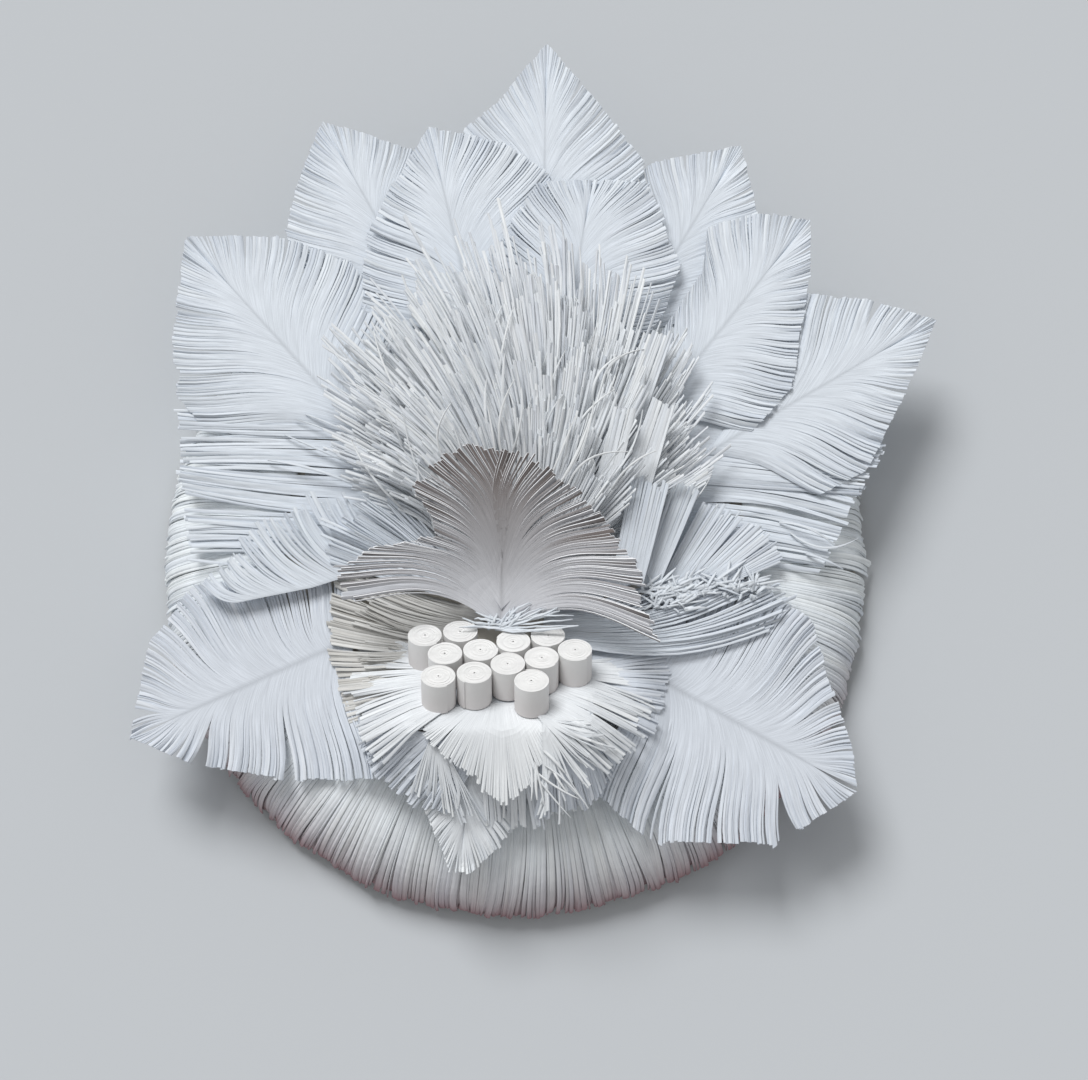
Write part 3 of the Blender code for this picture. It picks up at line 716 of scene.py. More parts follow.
# %% [markdown]
# A finished sheet stands for the solid that has its outline. Points that coincide are welded, so the uncut
# part of the sheet is one surface, and Solidify gives the paper its thickness, downwards from the face that
# was worked out.

# %% A finished sheet of paper
PAPER = 0.16 * MM


def weld(mesh, distance=0.002 * MM):
    """Joins the points that lie within the distance of each other."""
    bm = bmesh.new()
    bm.from_mesh(mesh)
    bmesh.ops.remove_doubles(bm, verts=bm.verts[:], dist=distance)
    bm.to_mesh(mesh)
    bm.free()


def paper_piece(node, sheets, paper, edge=None):
    """A finished sheet that stands for its CAD node: welded, given its thickness, its paper and, where it
    shows, a brighter paper on its cut edges, a painted highlight."""
    mesh = sheet_mesh(node + "_cut", sheets)
    weld(mesh)
    mesh.shade_flat()
    mesh.materials.append(paper)
    piece = bpy.data.objects.new(node + "_cut", mesh)
    bpy.context.scene.collection.objects.link(piece)
    wall = piece.modifiers.new("Thickness", "SOLIDIFY")
    wall.thickness = PAPER
    wall.offset = -1.0
    if edge:
        mesh.materials.append(edge)
        wall.material_offset_rim = 1
    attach(piece, "root")
    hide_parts(node)
    print(f"{piece.name}: {len(mesh.polygons)} quads")
    return piece


print(f"paper is {PAPER / MM:.2f} mm thick")

# %% [markdown]
# ## The back petals
#
# Each back petal is a kite with strands cut from both edges towards its spine. The left and right sides are
# two sheets that share the spine.

# %% Back petals
SPINE_END = 0.8            # the spine ends here, as a share of the way to the petal's tip


def petal(node, root, tip, left, right, lift, cut, seed, left_gaps=(), right_gaps=(), spine_end=SPINE_END,
          paper=petal_paper, slot="petal_paper", extra=(), edge=None):
    """A petal of two sheets, one on each side of the spine, with any other sheets that belong to it."""
    rng = np.random.default_rng(seed)
    root, tip = np.array(root, float), np.array(tip, float)
    spine = [root, root + (tip - root) * spine_end]
    sheets = [strands(spine, [*left, tip], lift, cut, rng, left_gaps),
              strands(spine, [*right, tip], lift, replace(cut, bow=-cut.bow), rng, right_gaps)]
    return paper_piece(node, [*sheets, *extra], paper, edge)


feather = Cut(start=0.34, start_spread=0.14, lean=0.10, sway=0.10, short=0.012, drop=0.8)
# Each petal's root, tip, left edge and right edge in mm, and its layer.
BACK_PETALS = (
    ("petal_upper_left", (-12, 38), (-38, 86), [(-38, 50), (-45, 63), (-42, 75)],
     [(-8, 55), (-17, 72), (-20, 80), (-29, 83)], ON_RIM),
    ("petal_upper_right", (20, 40), (44, 81), [(16, 62), (22, 72), (26, 77), (35, 79)],
     [(42, 46), (48, 61), (46, 72)], ON_RIM),
    ("petal_top", (5, 38), (6, 102), [(-20, 60), (-10, 84), (-4, 89)],
     [(28, 58), (25, 77), (18, 87)], ON_RIM + 1),
    ("petal_left", (-28, 21), (-64, 62), [(-60, 24), (-65, 30), (-66, 41)],
     [(-22, 44), (-32, 57), (-46, 62)], ON_RIM + 1),
    ("petal_inner_left", (-6, 36), (-17, 84), [(-30, 46), (-29, 61), (-24, 72)],
     [(12, 58), (6, 75), (-3, 81)], ON_RIM + 2),
    ("petal_far_right", (36, 18), (81, 45), [(48, 42), (56, 50), (68, 49)],
     [(58, 10), (67, 15), (76, 33)], ON_RIM + 2),
    ("petal_inner_right", (8, 32), (15, 73), [(-6, 46), (-5, 58), (4, 72)],
     [(22, 36), (29, 46), (32, 56), (26, 72)], ON_RIM + 3),
    ("petal_right", (25, 24), (57, 65), [(28, 42), (36, 54), (37, 63), (46, 66)],
     [(45, 22), (53, 31), (57, 55)], ON_RIM + 3),
)
# The wide slits of its left and right edges: each a share of the edge and a width in mm.
PETAL_SLITS = {
    "petal_top": ((), ((0.33, 1.0), (0.5, 0.6), (0.79, 0.8))),
    "petal_left": (((0.3, 0.6),), ((0.60, 0.9),)),
    "petal_far_right": (((0.69, 0.9),), ((0.12, 1.2), (0.7, 0.7))),
    "petal_right": (((0.5, 0.6),), ((0.6, 0.5),)),
    "petal_upper_left": (((0.4, 0.5),), ()),
}
for seed, (node, root, tip, left, right, layer) in enumerate(BACK_PETALS, start=10):
    petal(node, root, tip, left, right, lift_of(layer), feather, seed, *PETAL_SLITS.get(node, ((), ())))

# %% [markdown]
# ## The side strips
#
# Plain fringed strips fill the sides. They could be one wide fan on each side, but a strip is what a maker
# cuts: it keeps its strands nearly parallel, and a few of them always come loose and arch over the rest. A
# flat strip lies low under each side, so that the base doesn't show between the strands.

# %% Side strips
def fringe(node, roots, tips, lift, cut, seed, gaps=(), paper=petal_paper, extra=()):
    """One fringed strip from its roots to its tips, with any other sheets that belong to it."""
    sheet = strands(roots, tips, lift, cut, np.random.default_rng(seed), gaps)
    return paper_piece(node, [sheet, *extra], paper)


strip = Cut(start=0.2, gap=0.08, lift=0.30, sway=0.3, clump=0.12, bundle=5, short=0.02, wave=0.15, drop=0.5)
loose_strip = replace(strip, wave=0.4, gap=0.02)
low_strip = replace(strip, gap=0.0, lift=0.05, tilt=0.1, sway=0.05, clump=0.0, wave=0.0, drop=0.0)
low_rng = np.random.default_rng(28)
low_left = strands([(-15, 24), (-16, -3)], [(-38, 20), (-41, -3)], lift_of(0), low_strip, low_rng)
low_right = strands([(18, 20), (18, -3)], [(38, 19), (42, -3)], lift_of(0), low_strip, low_rng)
side_rng = np.random.default_rng(29)
arches = loose([(-25, 16), (-26, 14), (-24, 18), (-30, 12)], [(-42, 25), (-44, 22), (-40, 26), (-47, 17)],
               lift_of(ON_RIM + 1), side_rng, high=2.0)
fringe("left_side_fringe", [(-22, 27), (-23, -4)], [(-65, 28), (-64, 13), (-62, -2)], lift_of(ON_RIM),
       replace(loose_strip, sway=0.7, clump=0.20, belly=0.7, bundle=6), 30, extra=[arches, low_left])
arches = loose([(52, 3), (50, 5), (55, -1)], [(65, 2), (61, 0), (62, -4)], lift_of(ON_RIM + 0.5), side_rng,
               high=2.0)
fringe("right_side_fringe", [(26, -3), (27, 20)], [(58, -5), (62.5, 3), (67, 12)], lift_of(ON_RIM),
       replace(loose_strip, bow=0.04, belly=0.3, sway=0.4), 31, extra=[arches, low_right])
fringe("right_mid_fringe", [(29, 13), (33, 27)], [(66, 10), (71, 21)], lift_of(ON_RIM + 1), strip, 32)

# %% [markdown]
# The two lower petals are the largest sheets. They are petals like those at the back, cut closer to the
# spine, so their strands are longer, and a few wide slits open between them near the tips.

# %% Lower petals
wide = Cut(start=0.25, start_spread=0.10, bow=0.03, lean=0.10, gap=0.045, sway=0.25, lift=0.20, steps=10,
           bundle=5, clump=0.07, short=0.012)
petal("lower_left_petal", (-30, -17), (-72, -36), [(-24, -45), (-43, -44), (-60, -41)],
      [(-30, -6), (-41, -4.5), (-61, -7), (-69, -18)], lift_of(ON_RIM), wide, 40,
      left_gaps=((0.36, 2.4), (0.72, 3.5)), right_gaps=((0.62, 1.2), (0.93, 2.6)), paper=lower_paper)
petal("lower_right_petal", (22, -22), (64, -46), [(27, -8), (44, -6), (56, -13), (63, -37)],
      [(14, -47), (26, -56), (49, -56)], lift_of(ON_RIM), wide, 41,
      left_gaps=((0.72, 1.5),), right_gaps=((0.25, 3.6), (0.48, 1.2), (0.72, 4.0)), paper=lower_paper)

# %% [markdown]
# ## The mane
#
# Behind the hood, long fine strands fan out in five rows. Each row is two or three sheets close together,
# with tips of uneven length, so that no row shows a clean edge.

# %% Mane rows
# Each row's layer, its rise, the angles between which its roots stand, and its tips from right to left.
MANE_ROWS = (
    (-0.1, 0.30, 34, 152,
     [(41, 15), (39, 27), (32, 46), (9, 66), (-14, 64), (-32, 51), (-39, 30), (-37, 13)]),
    (0.9, 0.38, 40, 146, [(36, 18), (34, 28), (29, 39), (10, 56), (-14, 54), (-32, 40), (-34, 14)]),
    (1.9, 0.48, 38, 136, [(32, 15), (28, 30), (10, 46), (-14, 45), (-29, 32), (-31, 14)]),
    (2.9, 0.60, 38, 136, [(27, 12), (24, 24), (10, 37), (-10, 37), (-24, 27), (-27, 13)]),
    (3.9, 0.76, 38, 136, [(21, 11), (18, 19), (9, 27), (-8, 28), (-18, 21), (-22, 12)]),
)
# The sheets of a row: each one's reach, as a share of the row's tips, and its height over the row in layers.
ROW_SHEETS = ((1.0, 0.0), (0.92, 0.3), (0.83, 0.6))
# Short upright strips at the right of a row, each from its low edge to its top edge.
MANE_STRIPS = {
    2: (((19, 22), (23.5, 21)), ((25.5, 40), (30, 39))),
    3: (((19, 8), (25, 8)), ((26, 27), (30, 25))),
    4: (((15, 10), (19, 9)), ((18.5, 24), (22.5, 23))),
}
LOOSE_STRANDS = 12
LOOSE_LENGTHS = (10, 22)
mane_cut = Cut(pitch=0.66, steps=10, start=0.10, start_spread=0.04, turn=-0.16, gap=0.02, sway=0.45,
               lift=0.16, tilt=0.38, bundle=6, clump=0.11, short=0.09, ragged=0.10, wave=0.22, bend=0.03,
               taper=0.25)
strip_cut = Cut(pitch=0.6, start=0.15, start_spread=0.05, gap=0.02, sway=0.08, lift=0.08, tilt=0.28,
                short=0.03)
print(f"the mane has {len(MANE_ROWS)} rows of {len(ROW_SHEETS)} sheets")

# %% [markdown]
# Each row is built from the bottom up. Under the lowest one go a sheet that is cut only near its tips and a
# flat one that reaches the rim's bands, and both close the view to the base. A few strands go astray over
# each row.

# %% Cutting the mane
def arc(centre, radius, start, end, count=8):
    """Points on a circular arc, with its angles in degrees."""
    angles = np.radians(np.linspace(start, end, count + 1))
    return np.column_stack([centre[0] + radius * np.cos(angles), centre[1] + radius * np.sin(angles)])


def drawn_in(tips, share):
    """The line of tips moved towards the throat, to a share of its distance."""
    return np.array(THROAT) + (np.array(tips, float) - THROAT) * share


for number, (layer, rise, start, end, tips) in enumerate(MANE_ROWS, start=1):
    rng = np.random.default_rng(50 + number)
    roots = arc(THROAT, THROAT_RADIUS + 1.0, start, end)
    sheets = []
    for share, step in ROW_SHEETS:
        sheets.append(strands(roots, drawn_in(tips, share), lift_of(layer + step, rise), mane_cut, rng))
    if number == 1:
        sheets.append(strands(roots, tips, lift_of(layer - 0.1, rise), replace(mane_cut, start=0.6), rng))
        low_tips = arc((0, 0), RIM_BAND_RADIUS - 0.8, 12, 168)
        sheets.append(strands(roots, low_tips, lift_of(0.1), replace(low_strip, start=0.4), low_rng))
    if number in MANE_STRIPS:
        sheets.append(strands(*MANE_STRIPS[number], lift_of(layer + 0.7, rise), strip_cut, rng))
    astray = scattered(drawn_in(tips, 0.45), tips, LOOSE_STRANDS, LOOSE_LENGTHS, 0.12, rng)
    sheets.append(loose(*astray, lift_of(layer + 0.8, rise), rng))
    # The mane's brighter paper is painted light.
    paper_piece(f"mane_row_{number}", sheets, mane_paper)

# %% [markdown]
# ## The hood
#
# The hood is one creased petal, glued at its root behind the coils, that leans out over the throat and hides
# it. Its two halves meet in the crease, and its strands were rubbed over a blade, so they stand half on
# edge: the light catches their cut edges as fine bright lines and leaves their faces dark towards the tips.
# The cut gets a cant for that, and the rest is painted: a fade and the paper's dark tone are painted shade
# on the faces towards the tips, and the edges get a brighter paper of their own, a painted highlight. It
# could also be sculpted as one shell with a bump, but from the side the strands have to be real. A tuft of
# loose strands covers its foot.

# %% Hood
# tint and fade paint shade on the hood: light paper at its root, dark towards its far tips.
hood_cut = Cut(pitch=0.66, steps=14, start=0.26, start_turn=0.22, start_spread=0.07, bow=-0.10, lean=0.08,
               gap=0.13, sway=0.16, lift=0.22, cant=0.55, tilt=0.60, bundle=4, clump=0.10, short=0.03,
               ragged=0.02, curl=0.35, tint=0.85, fade=1.0)
petal("hood_petal", (-2.5, -17), (-2, 15),
      [(-31, -14), (-33.5, -7), (-27, -3), (-20, -2), (-15.5, 0), (-17, 4), (-20, 8), (-16, 12), (-10, 15)],
      [(27.5, -21), (24, -8), (17, 2), (12, 8), (5, 13)], lift_of(HOOD_LAYER, HOOD_RISE), hood_cut, 60,
      spine_end=0.42, paper=hood_shade_paper, slot="mane_paper", edge=edge_highlight_paper)

# %% [markdown]
# The tuft at the hood's foot is a short strip whose strands were spread by hand. Here it is a handful of
# loose strands: all of them start in one small patch, and two of them end near each point of a rough line.

# %% The tuft at the hood's foot
TUFT_TIPS = [(-10, -16), (-9, -15), (-7, -14.6), (-5, -14.2), (-3, -14), (-1, -12.5), (0, -12.2), (1, -13),
             (3, -12.2), (5, -12.8), (6, -13.5), (8, -13), (11, -15), (11.5, -16.5), (7, -16.8)]
TUFT_STRANDS = 2 * len(TUFT_TIPS)
bract_rng = np.random.default_rng(61)
bract_tips = np.repeat(TUFT_TIPS, 2, axis=0) + bract_rng.normal(0, 0.4, (TUFT_STRANDS, 2))
bract_roots = np.column_stack([bract_rng.uniform(-5, 0, TUFT_STRANDS),
                               bract_rng.uniform(-17, -15.4, TUFT_STRANDS)])
spread_strands = loose(bract_roots, bract_tips, lift_of(HOOD_LAYER + 0.3, HOOD_RISE), bract_rng, width=0.42,
                       arch=0.05, high=0.7, steps=8, kink=0.08)
paper_piece("hood_bract", [spread_strands], petal_paper)

# %% [markdown]
# ## Wings and shoulders
#
# Fringed strips stand on both sides of the throat. The left wing is one long strip whose strands curve up
# and over, with a jagged strip and a flat one below it that close the view to the base. On the right, three
# flat strips overlap like tiles.

# %% Left wing and right shoulders
wing = Cut(steps=10, start=0.12, gap=0.02, sway=0.5, lift=0.30, tilt=0.45, clump=0.14, short=0.05, wave=0.2,
           belly=0.25)
flat_strip = replace(wing, start_spread=0.05, sway=0.12, lift=0.10, tilt=0.28, clump=0.05, short=0.03,
                     pitch=0.62, wave=0.05, belly=0.0)
wing_rng = np.random.default_rng(69)
jagged = strands([(-9, -5), (-12, -9)], [(-24, 10), (-31, 10), (-36, 6), (-38, 2)], lift_of(1.9, 0.36),
                 replace(wing, gap=0.12, tilt=0.6, lift=0.5, short=0.14, belly=0.5), wing_rng)
under = strands([(-8, -3), (-11, -10)], [(-20, 12), (-34, 4), (-36, -3)], lift_of(0.3, 0.30), flat_strip,
                wing_rng)
fringe("left_wing", [(-20, -2), (-32, -6), (-38, -8), (-52, -11)],
       [(-33, 11), (-40, 10), (-50, 4), (-60, -8)], lift_of(0.8, 0.24),
       replace(wing, bow=0.10, short=0.08), 70, extra=[jagged, under])
fringe("right_shoulder_low", [(26, -9), (38, -8)], [(36, 9), (43, 6), (48, 3), (51, -3)], lift_of(0.4, 0.20),
       replace(flat_strip, short=0.05, sway=0.2), 71, gaps=((0.42, 0.8),))
fringe("right_shoulder_mid", [(23, -8), (27, -8)], [(30, 12), (35, 10)], lift_of(1.2, 0.36), flat_strip, 72)
fringe("right_shoulder_high", [(18, -8), (24, -8)], [(21.5, 11), (25, 12), (29, 10)], lift_of(2.2, 0.54),
       flat_strip, 73)

# %% [markdown]
# A band of crumpled offcuts lies over the roots of the right wing. Each is a short straight ribbon with a
# small kink. They are scattered evenly over two patches, and all point the same way within a few
# millimetres.

# %% Right wing
# Each patch: its low corner, its high corner, and its offcuts.
OFFCUT_PATCHES = (((24, -12.5), (32, -8), 70), ((30, -9.5), (46, -7), 90))
OFFCUT_RUN = (1.8, 1.4)    # how far an offcut runs in x and y, and how much that varies
OFFCUT_SPREAD = (2.6, 1.4)
crumpled_from = np.concatenate([wing_rng.uniform(low, high, (count, 2))
                                for low, high, count in OFFCUT_PATCHES])
crumpled_to = crumpled_from + wing_rng.normal(0, 1, crumpled_from.shape) * OFFCUT_SPREAD + OFFCUT_RUN
crumpled = loose(crumpled_from, crumpled_to, lift_of(1.5, 0.32, 0.18), wing_rng, width=0.5, arch=0.02,
                 high=0.7, steps=3, kink=0.07)
fringe("right_wing", arc(THROAT, THROAT_RADIUS + 1, -32, 4), [(52, -15), (54, -9), (45, -6), (34, -5)],
       lift_of(1.2, 0.32, 0.19), replace(wing, bow=-0.10, tilt=0.35), 74, extra=[crumpled])

# %% [markdown]
# ## The lip
#
# The lip is a slope of folded card with a bed of paper over it for the coils. The bed folds over the ridge
# into a pointed tongue, and tufts of strands hang from it on all sides. On the real flower they hide how it
# is built, so here the sheets are laid in the same order, from the throat outwards. All of them read the
# height field, so each follows the ridge that it hangs from. First come the strips beside the lip.

# %% Strips beside the lip
BESIDE_CLIMB = 2.1         # layers that the upper strips climb,
BESIDE_REACH = 9.0         # over this distance from the lip's side
tuft = Cut(start=0.15, gap=0.06, sway=0.4, lift=0.30, clump=0.12, bundle=4, short=0.06, tilt=0.4, wave=0.15)
fine_tuft = replace(tuft, pitch=0.55, bow=0.04, start=0.08, gap=0.0, short=0.02)
throat_rng = np.random.default_rng(79)


def over_petals(x, y):
    """The upper strips beside the lip start under the coil bed and climb on to the lower petals' edges."""
    return sheet_height(x, y, BESIDE_CLIMB * np.clip((np.abs(x - LIP_X) - LIP_HALF) / BESIDE_REACH, 0, 1))


ragged = strands([(-18.0, -27), (-14, -20), (-5, -13)], [(-27, -31), (-31, -20), (-31, -4)],
                 above(over_petals, 0.5),
                 replace(fine_tuft, sway=0.7, gap=0.03, short=0.12, ragged=0.12, taper=0.3, belly=0.3),
                 throat_rng)
back_left = strands([(-8, -9), (-8, -2)], [(-36, -3), (-34, 12)], lift_of(0), fine_tuft, throat_rng)
# Its warm, dull paper is painted shade, where the hood shades these strips.
fringe("lip_left_upper", [(-18.5, -29), (-15, -20), (-3, -12)], [(-31, -34), (-35, -20), (-35, -1)],
       over_petals, replace(fine_tuft, sway=0.3), 80, paper=throat_shade_paper, extra=[ragged, back_left])
fringe("lip_left_lower", [(-6, -41), (-12, -37.5), (-17.5, -36.8), (-18.8, -29)],
       [(-12, -51), (-19, -50), (-25, -46), (-29, -38), (-29, -30)], lift_of(LIP_STRIP_LAYER), tuft, 81,
       paper=lower_paper)
back_right = strands([(8, -17.5), (3, -5)], [(31, -11), (30, 13)], lift_of(0), fine_tuft, throat_rng)
fringe("lip_right_upper", [(13.6, -17), (13.6, -32)], [(31, -9), (30, -21), (26, -37)],
       over_petals, replace(tuft, gap=0.04), 82, paper=lower_paper, extra=[back_right])
fringe("lip_right_lower", [(14, -33), (12, -39), (5, -41)],
       [(20.5, -38.5), (17.5, -46), (12.5, -51), (4, -52)], lift_of(LIP_STRIP_LAYER),
       replace(tuft, start=0.4), 83, paper=lower_paper)

# %% [markdown]
# Under the lip hangs the lowest petal. The card that props up the lip would show beside it, so a skirt of
# strands falls steeply from the ridge to the rim, a fringe lies below, and a few long strands hang over
# both.

# %% The lowest petal and its skirt
SKIRT_CLEAR = 1.6          # the skirt's height over the base's top at its foot
SKIRT_STEEP = 2.2          # it falls this many times as steeply as the lip
SKIRT_FOOT = 1.2           # SKIRT_STEEP less 1, so that the two meet at the ridge
lip_rng = np.random.default_rng(84)


def skirt_lift(x, y):
    """The skirt falls from the ridge more steeply than the sheets over it, down to the rim's rings: the
    base's height + SKIRT_CLEAR + SKIRT_STEEP * lip's height - SKIRT_FOOT * LIP_RISE, where that is above
    nought."""
    fall = SKIRT_STEEP * lip_height(x, y) - SKIRT_FOOT * LIP_RISE
    return BASE_HEIGHT + SKIRT_CLEAR + np.maximum(fall, 0)


skirt = strands([(-18.5, -27), (-17.5, -37), (-10, -39.2), (4, -39.2), (11.5, -37), (14, -27)],
                [(-26, -29), (-25, -40), (-13, -49), (7, -49), (19, -42), (22, -29)], skirt_lift, tuft,
                lip_rng)
below = strands([(-6, -40), (9, -40)], [(-6, -53), (3, -54), (13, -51)], lift_of(1.6),
                replace(tuft, short=0.10), lip_rng)
hanging = strands([(-15.5, -38.5), (-12, -41)],
                  [(-19.4, -47.8), (-16, -50.5), (-11.8, -52.8), (-8, -53), (-4.5, -54)],
                  above(lowest_lift, 1.6), replace(tuft, short=0.15, sway=0.6, gap=0.12), lip_rng)
# The lowest petal takes the mane's brighter paper: painted light that lifts it out of the lip's shade.
petal("lip_lowest", (-8, -40), (-10, -61.6), [(-17.5, -47.5), (-14.5, -55), (-11.9, -61.2)],
      [(2.3, -51.5), (-3, -57.2), (-8, -61.4)], lowest_lift, replace(feather, short=0.03, start=0.5), 84,
      spine_end=0.6, paper=mane_paper, extra=[hanging, below, skirt])

# %% [markdown]
# Last comes the bed with its tongue. On the real flower that is one petal, folded over the ridge. Here the
# bed is an uncut sheet and the tongue is a fringe that starts under the front coils. A flap, two side tufts
# and a few messy strands lie over it. The bed is painted shade: it takes the paper's shade tone all over,
# without tint, where the hood and the coils shade it, and the tongue is painted darker at its root, under
# the coils, than at its tips.

# %% The bed and its tongue
MESSY = 8
bed_rng = np.random.default_rng(85)
uncut = Cut(start=0.9, gap=0, tilt=0, lift=0, sway=0, clump=0, short=0)
bed, _, bed_open, bed_travel = strands(
    [(BED_LEFT_AT_BACK - 0.8, BED_Y), (BED_RIGHT + 1.5, BED_Y)],
    [(BED_LEFT_AT_RIDGE - 2.2, RIDGE_Y), (BED_RIGHT + 1.5, RIDGE_Y)], bed_lift, uncut, bed_rng)
# The tongue's tint of 0.45 and its negative fade paint shade at its root, under the coils, and lighter tips.
tongue = strands([(-8, -31), (2, -31)],
                 [(-19, -35), (-15, -39.5), (-10.5, -43.8), (-6.3, -47.2), (-2, -50), (3, -48), (6.5, -43),
                  (9, -37)],
                 above(bed_lift, 0.25),
                 Cut(pitch=0.50, steps=16, start=0.52, start_spread=0.14, gap=0.02, sway=0.10, lift=0.10,
                     tilt=0.30, short=0.04, clump=0.05, tint=0.45, fade=-0.7), bed_rng)
flap = strands([(0, -32.5), (5, -31.5)],
               [(16.5, -36), (17, -41), (15.5, -44.5), (12, -47.5), (9.5, -50.5), (5.5, -51.5)],
               above(bed_lift, 0.8),
               Cut(pitch=0.55, steps=14, start=0.52, start_spread=0.10, gap=0.10, sway=0.6, lift=0.35,
                   tilt=0.4, short=0.12, clump=0.14, bundle=3, wave=0.4, bend=0.07), bed_rng)
beside_left = strands([(-14, -20), (-13, -33)], [(-30, -15), (-32, -27), (-28, -38), (-25, -43)],
                      above(bed_lift, 0.9), replace(tuft, gap=0.05), bed_rng)
beside_right = strands([(12, -22), (4, -33)], [(25, -20), (27, -30), (23, -40), (17, -45)],
                       above(bed_lift, 0.4), replace(tuft, gap=0.05, sway=0.6), bed_rng)
messy_from = bed_rng.uniform((3, -45), (9, -40), (MESSY, 2))
messy_to = messy_from + bed_rng.uniform((0, -8), (8, -4), (MESSY, 2))
messy = loose(messy_from, messy_to, above(bed_lift, 1.0), bed_rng, width=0.42, arch=0.06, high=0.5, steps=8)
# The bed's tint of 0.0 gives it the shade tone all over: painted shade under the hood and the coils.
paper_piece("lip_front", [(bed, 0.0, bed_open, bed_travel), tongue, flap, beside_left, beside_right, messy],
            lip_paper)

# %% [markdown]
# ## The rim
#
# Two long fringed strips are wrapped round the base, one over the other, with their uncut bands on the flat
# top and their strands bent down over the rounded edge. They could be made flat and bent by a modifier. A
# profile carried round the ring is simpler: each strand is the same quarter arc at its own angle, and noise
# that changes slowly round the ring keeps it from looking machined. Each strand has a soft fold along its
# middle.

# %% What the hand does round the rim
FLAT_RADIUS = 47.0
RIM_FOOT = 2.5
RIM_FLAT = 0.12            # the share of a strand that lies flat on top
RIM_LENGTH = 35.0          # a strand's length
RIM_WIDTH = 0.98           # a strand's width, as a share of its place
# RIM_TINT keeps the rim on its light tone: painted light on sides that face away from the key light.
RIM_TINT = 0.8
LOWEST_POINT = 0.6         # no strand comes nearer to the wall


def rim_hand(count, rng):
    """How each strand of a ring is drawn: its edges, and how it sways, waves, rises, folds, curls, tilts, is
    cut short and is tinted. Slow noise round the ring moves the strands together and makes their lengths
    uneven."""
    edge = (np.arange(count + 1) + rng.uniform(-0.38, 0.38, count + 1)) / count * math.tau
    edge[-1] = edge[0] + math.tau
    pull, number = bundle_pull(count, 5, rng)
    bundles = number.max() + 1
    aside = 2 * pull / np.bincount(number)[number]
    pitch = math.tau * BASE_RADIUS / count
    # Sway and wave in mm: noise over 14 strands and over 4, and a pull to the middle of the bundle.
    sway = 0.9 * slow_noise(count, 14, rng) + 0.3 * slow_noise(count, 4, rng) + 0.10 * pull * pitch
    wave = 0.45 * slow_noise(count, 6, rng)
    phase = 2.0 * slow_noise(count, 15, rng)
    # Rise, ridge, curl and tilt in mm: a bundle rises together, and the strands at its sides lie lower.
    rise = rng.normal(0, 0.14, bundles)[number] - 0.22 * aside ** 2 + rng.normal(0, 0.10, count)
    ridge = np.abs(rng.normal(0.15, 0.08, count))
    curl = np.abs(rng.normal(0, 0.4, bundles))[number] + rng.uniform(0.0, 0.7, count)
    tilt = rng.normal(0, 0.12, count)
    # Shares of a strand's length, and of the light paper in its tint.
    short = 0.018 * slow_noise(count, 9, rng) + rng.normal(0, 0.018, count)
    light = 0.20 * slow_noise(count, 4, rng) + rng.normal(0, 0.16, count)
    return SimpleNamespace(edge=edge, sway=sway / BASE_RADIUS, wave=wave / BASE_RADIUS, phase=phase,
                           rise=rise, ridge=ridge, curl=curl, tilt=tilt, short=np.clip(short, -0.06, 0.05),
                           light=light)


print(f"a strand of the rim is {RIM_LENGTH:.0f} mm long, and {RIM_FLAT * RIM_LENGTH:.0f} mm of it lie flat")

# %% [markdown]
# The ring is then worked out as one array, with three lines for each strand: its two edges, and between them
# the ridge of its fold. Each pair of neighbouring lines becomes a half strip.

# %% Rim rings
def rim_ring(away, count, seed, steps=16):
    """A ring of strands over the rounded rim: radius = flat + (base - flat) sin a, height = foot + (top -
    foot) cos a, for a from 0 at the flat top to 90 degrees at the foot, both moved out by away. Each strand
    has a fold along its middle that stands out by its ridge, so it is two half strips. Strands sway by
    opened ** 1.5, wave by opened * sin(phase + 5 * along) and curl outwards by opened ** 7."""
    hand = rim_hand(count, np.random.default_rng(seed))
    station = np.linspace(0, 1, steps + 1)
    opened = np.clip((station - RIM_FLAT) / (1 - RIM_FLAT), 0, 1)
    along = station + hand.short[:, None] * opened
    turn = np.clip((along - RIM_FLAT) / (1 - RIM_FLAT), 0, None) * math.pi / 2
    flat = np.where(along < RIM_FLAT, along / RIM_FLAT, 1.0)
    radius = RIM_BAND_RADIUS + (FLAT_RADIUS - RIM_BAND_RADIUS) * flat
    radius = radius + (BASE_RADIUS - FLAT_RADIUS) * np.sin(turn)
    height = RIM_FOOT + (BASE_HEIGHT - RIM_FOOT) * np.cos(turn)
    together = hand.sway[:, None] * opened ** 1.5
    together = together + hand.wave[:, None] * opened * np.sin(hand.phase[:, None] + 5.0 * along)
    tint = np.clip(RIM_TINT + each(hand.light) * opened, 0, 1)
    lines = []
    for share, sign in ((0.0, 1.0), (0.5, 0.0), (1.0, -1.0)):
        angle = hand.edge[:-1] + np.diff(hand.edge) * (0.5 + (share - 0.5) * RIM_WIDTH)
        out = away + hand.rise[:, None] * opened + sign * (hand.tilt[:, None] * opened)
        out = out + hand.curl[:, None] * opened ** 7 + (share == 0.5) * hand.ridge[:, None] * opened ** 0.5
        reach = radius + out * np.sin(turn)
        z = np.maximum(height + out * np.cos(turn), LOWEST_POINT)
        around = angle[:, None] + together
        lines.append(np.stack([reach * np.cos(around), reach * np.sin(around), z], axis=-1))
    travel = (along * RIM_LENGTH)[:, None]
    return [(np.stack(pair, axis=1), tint, opened, travel) for pair in (lines[:2], lines[1:])]


paper_piece("rim_fringe_lower", rim_ring(GAP + SHEET, 430, 90), rim_paper)
paper_piece("rim_fringe_upper", rim_ring(2 * (GAP + SHEET), 520, 91), rim_paper)

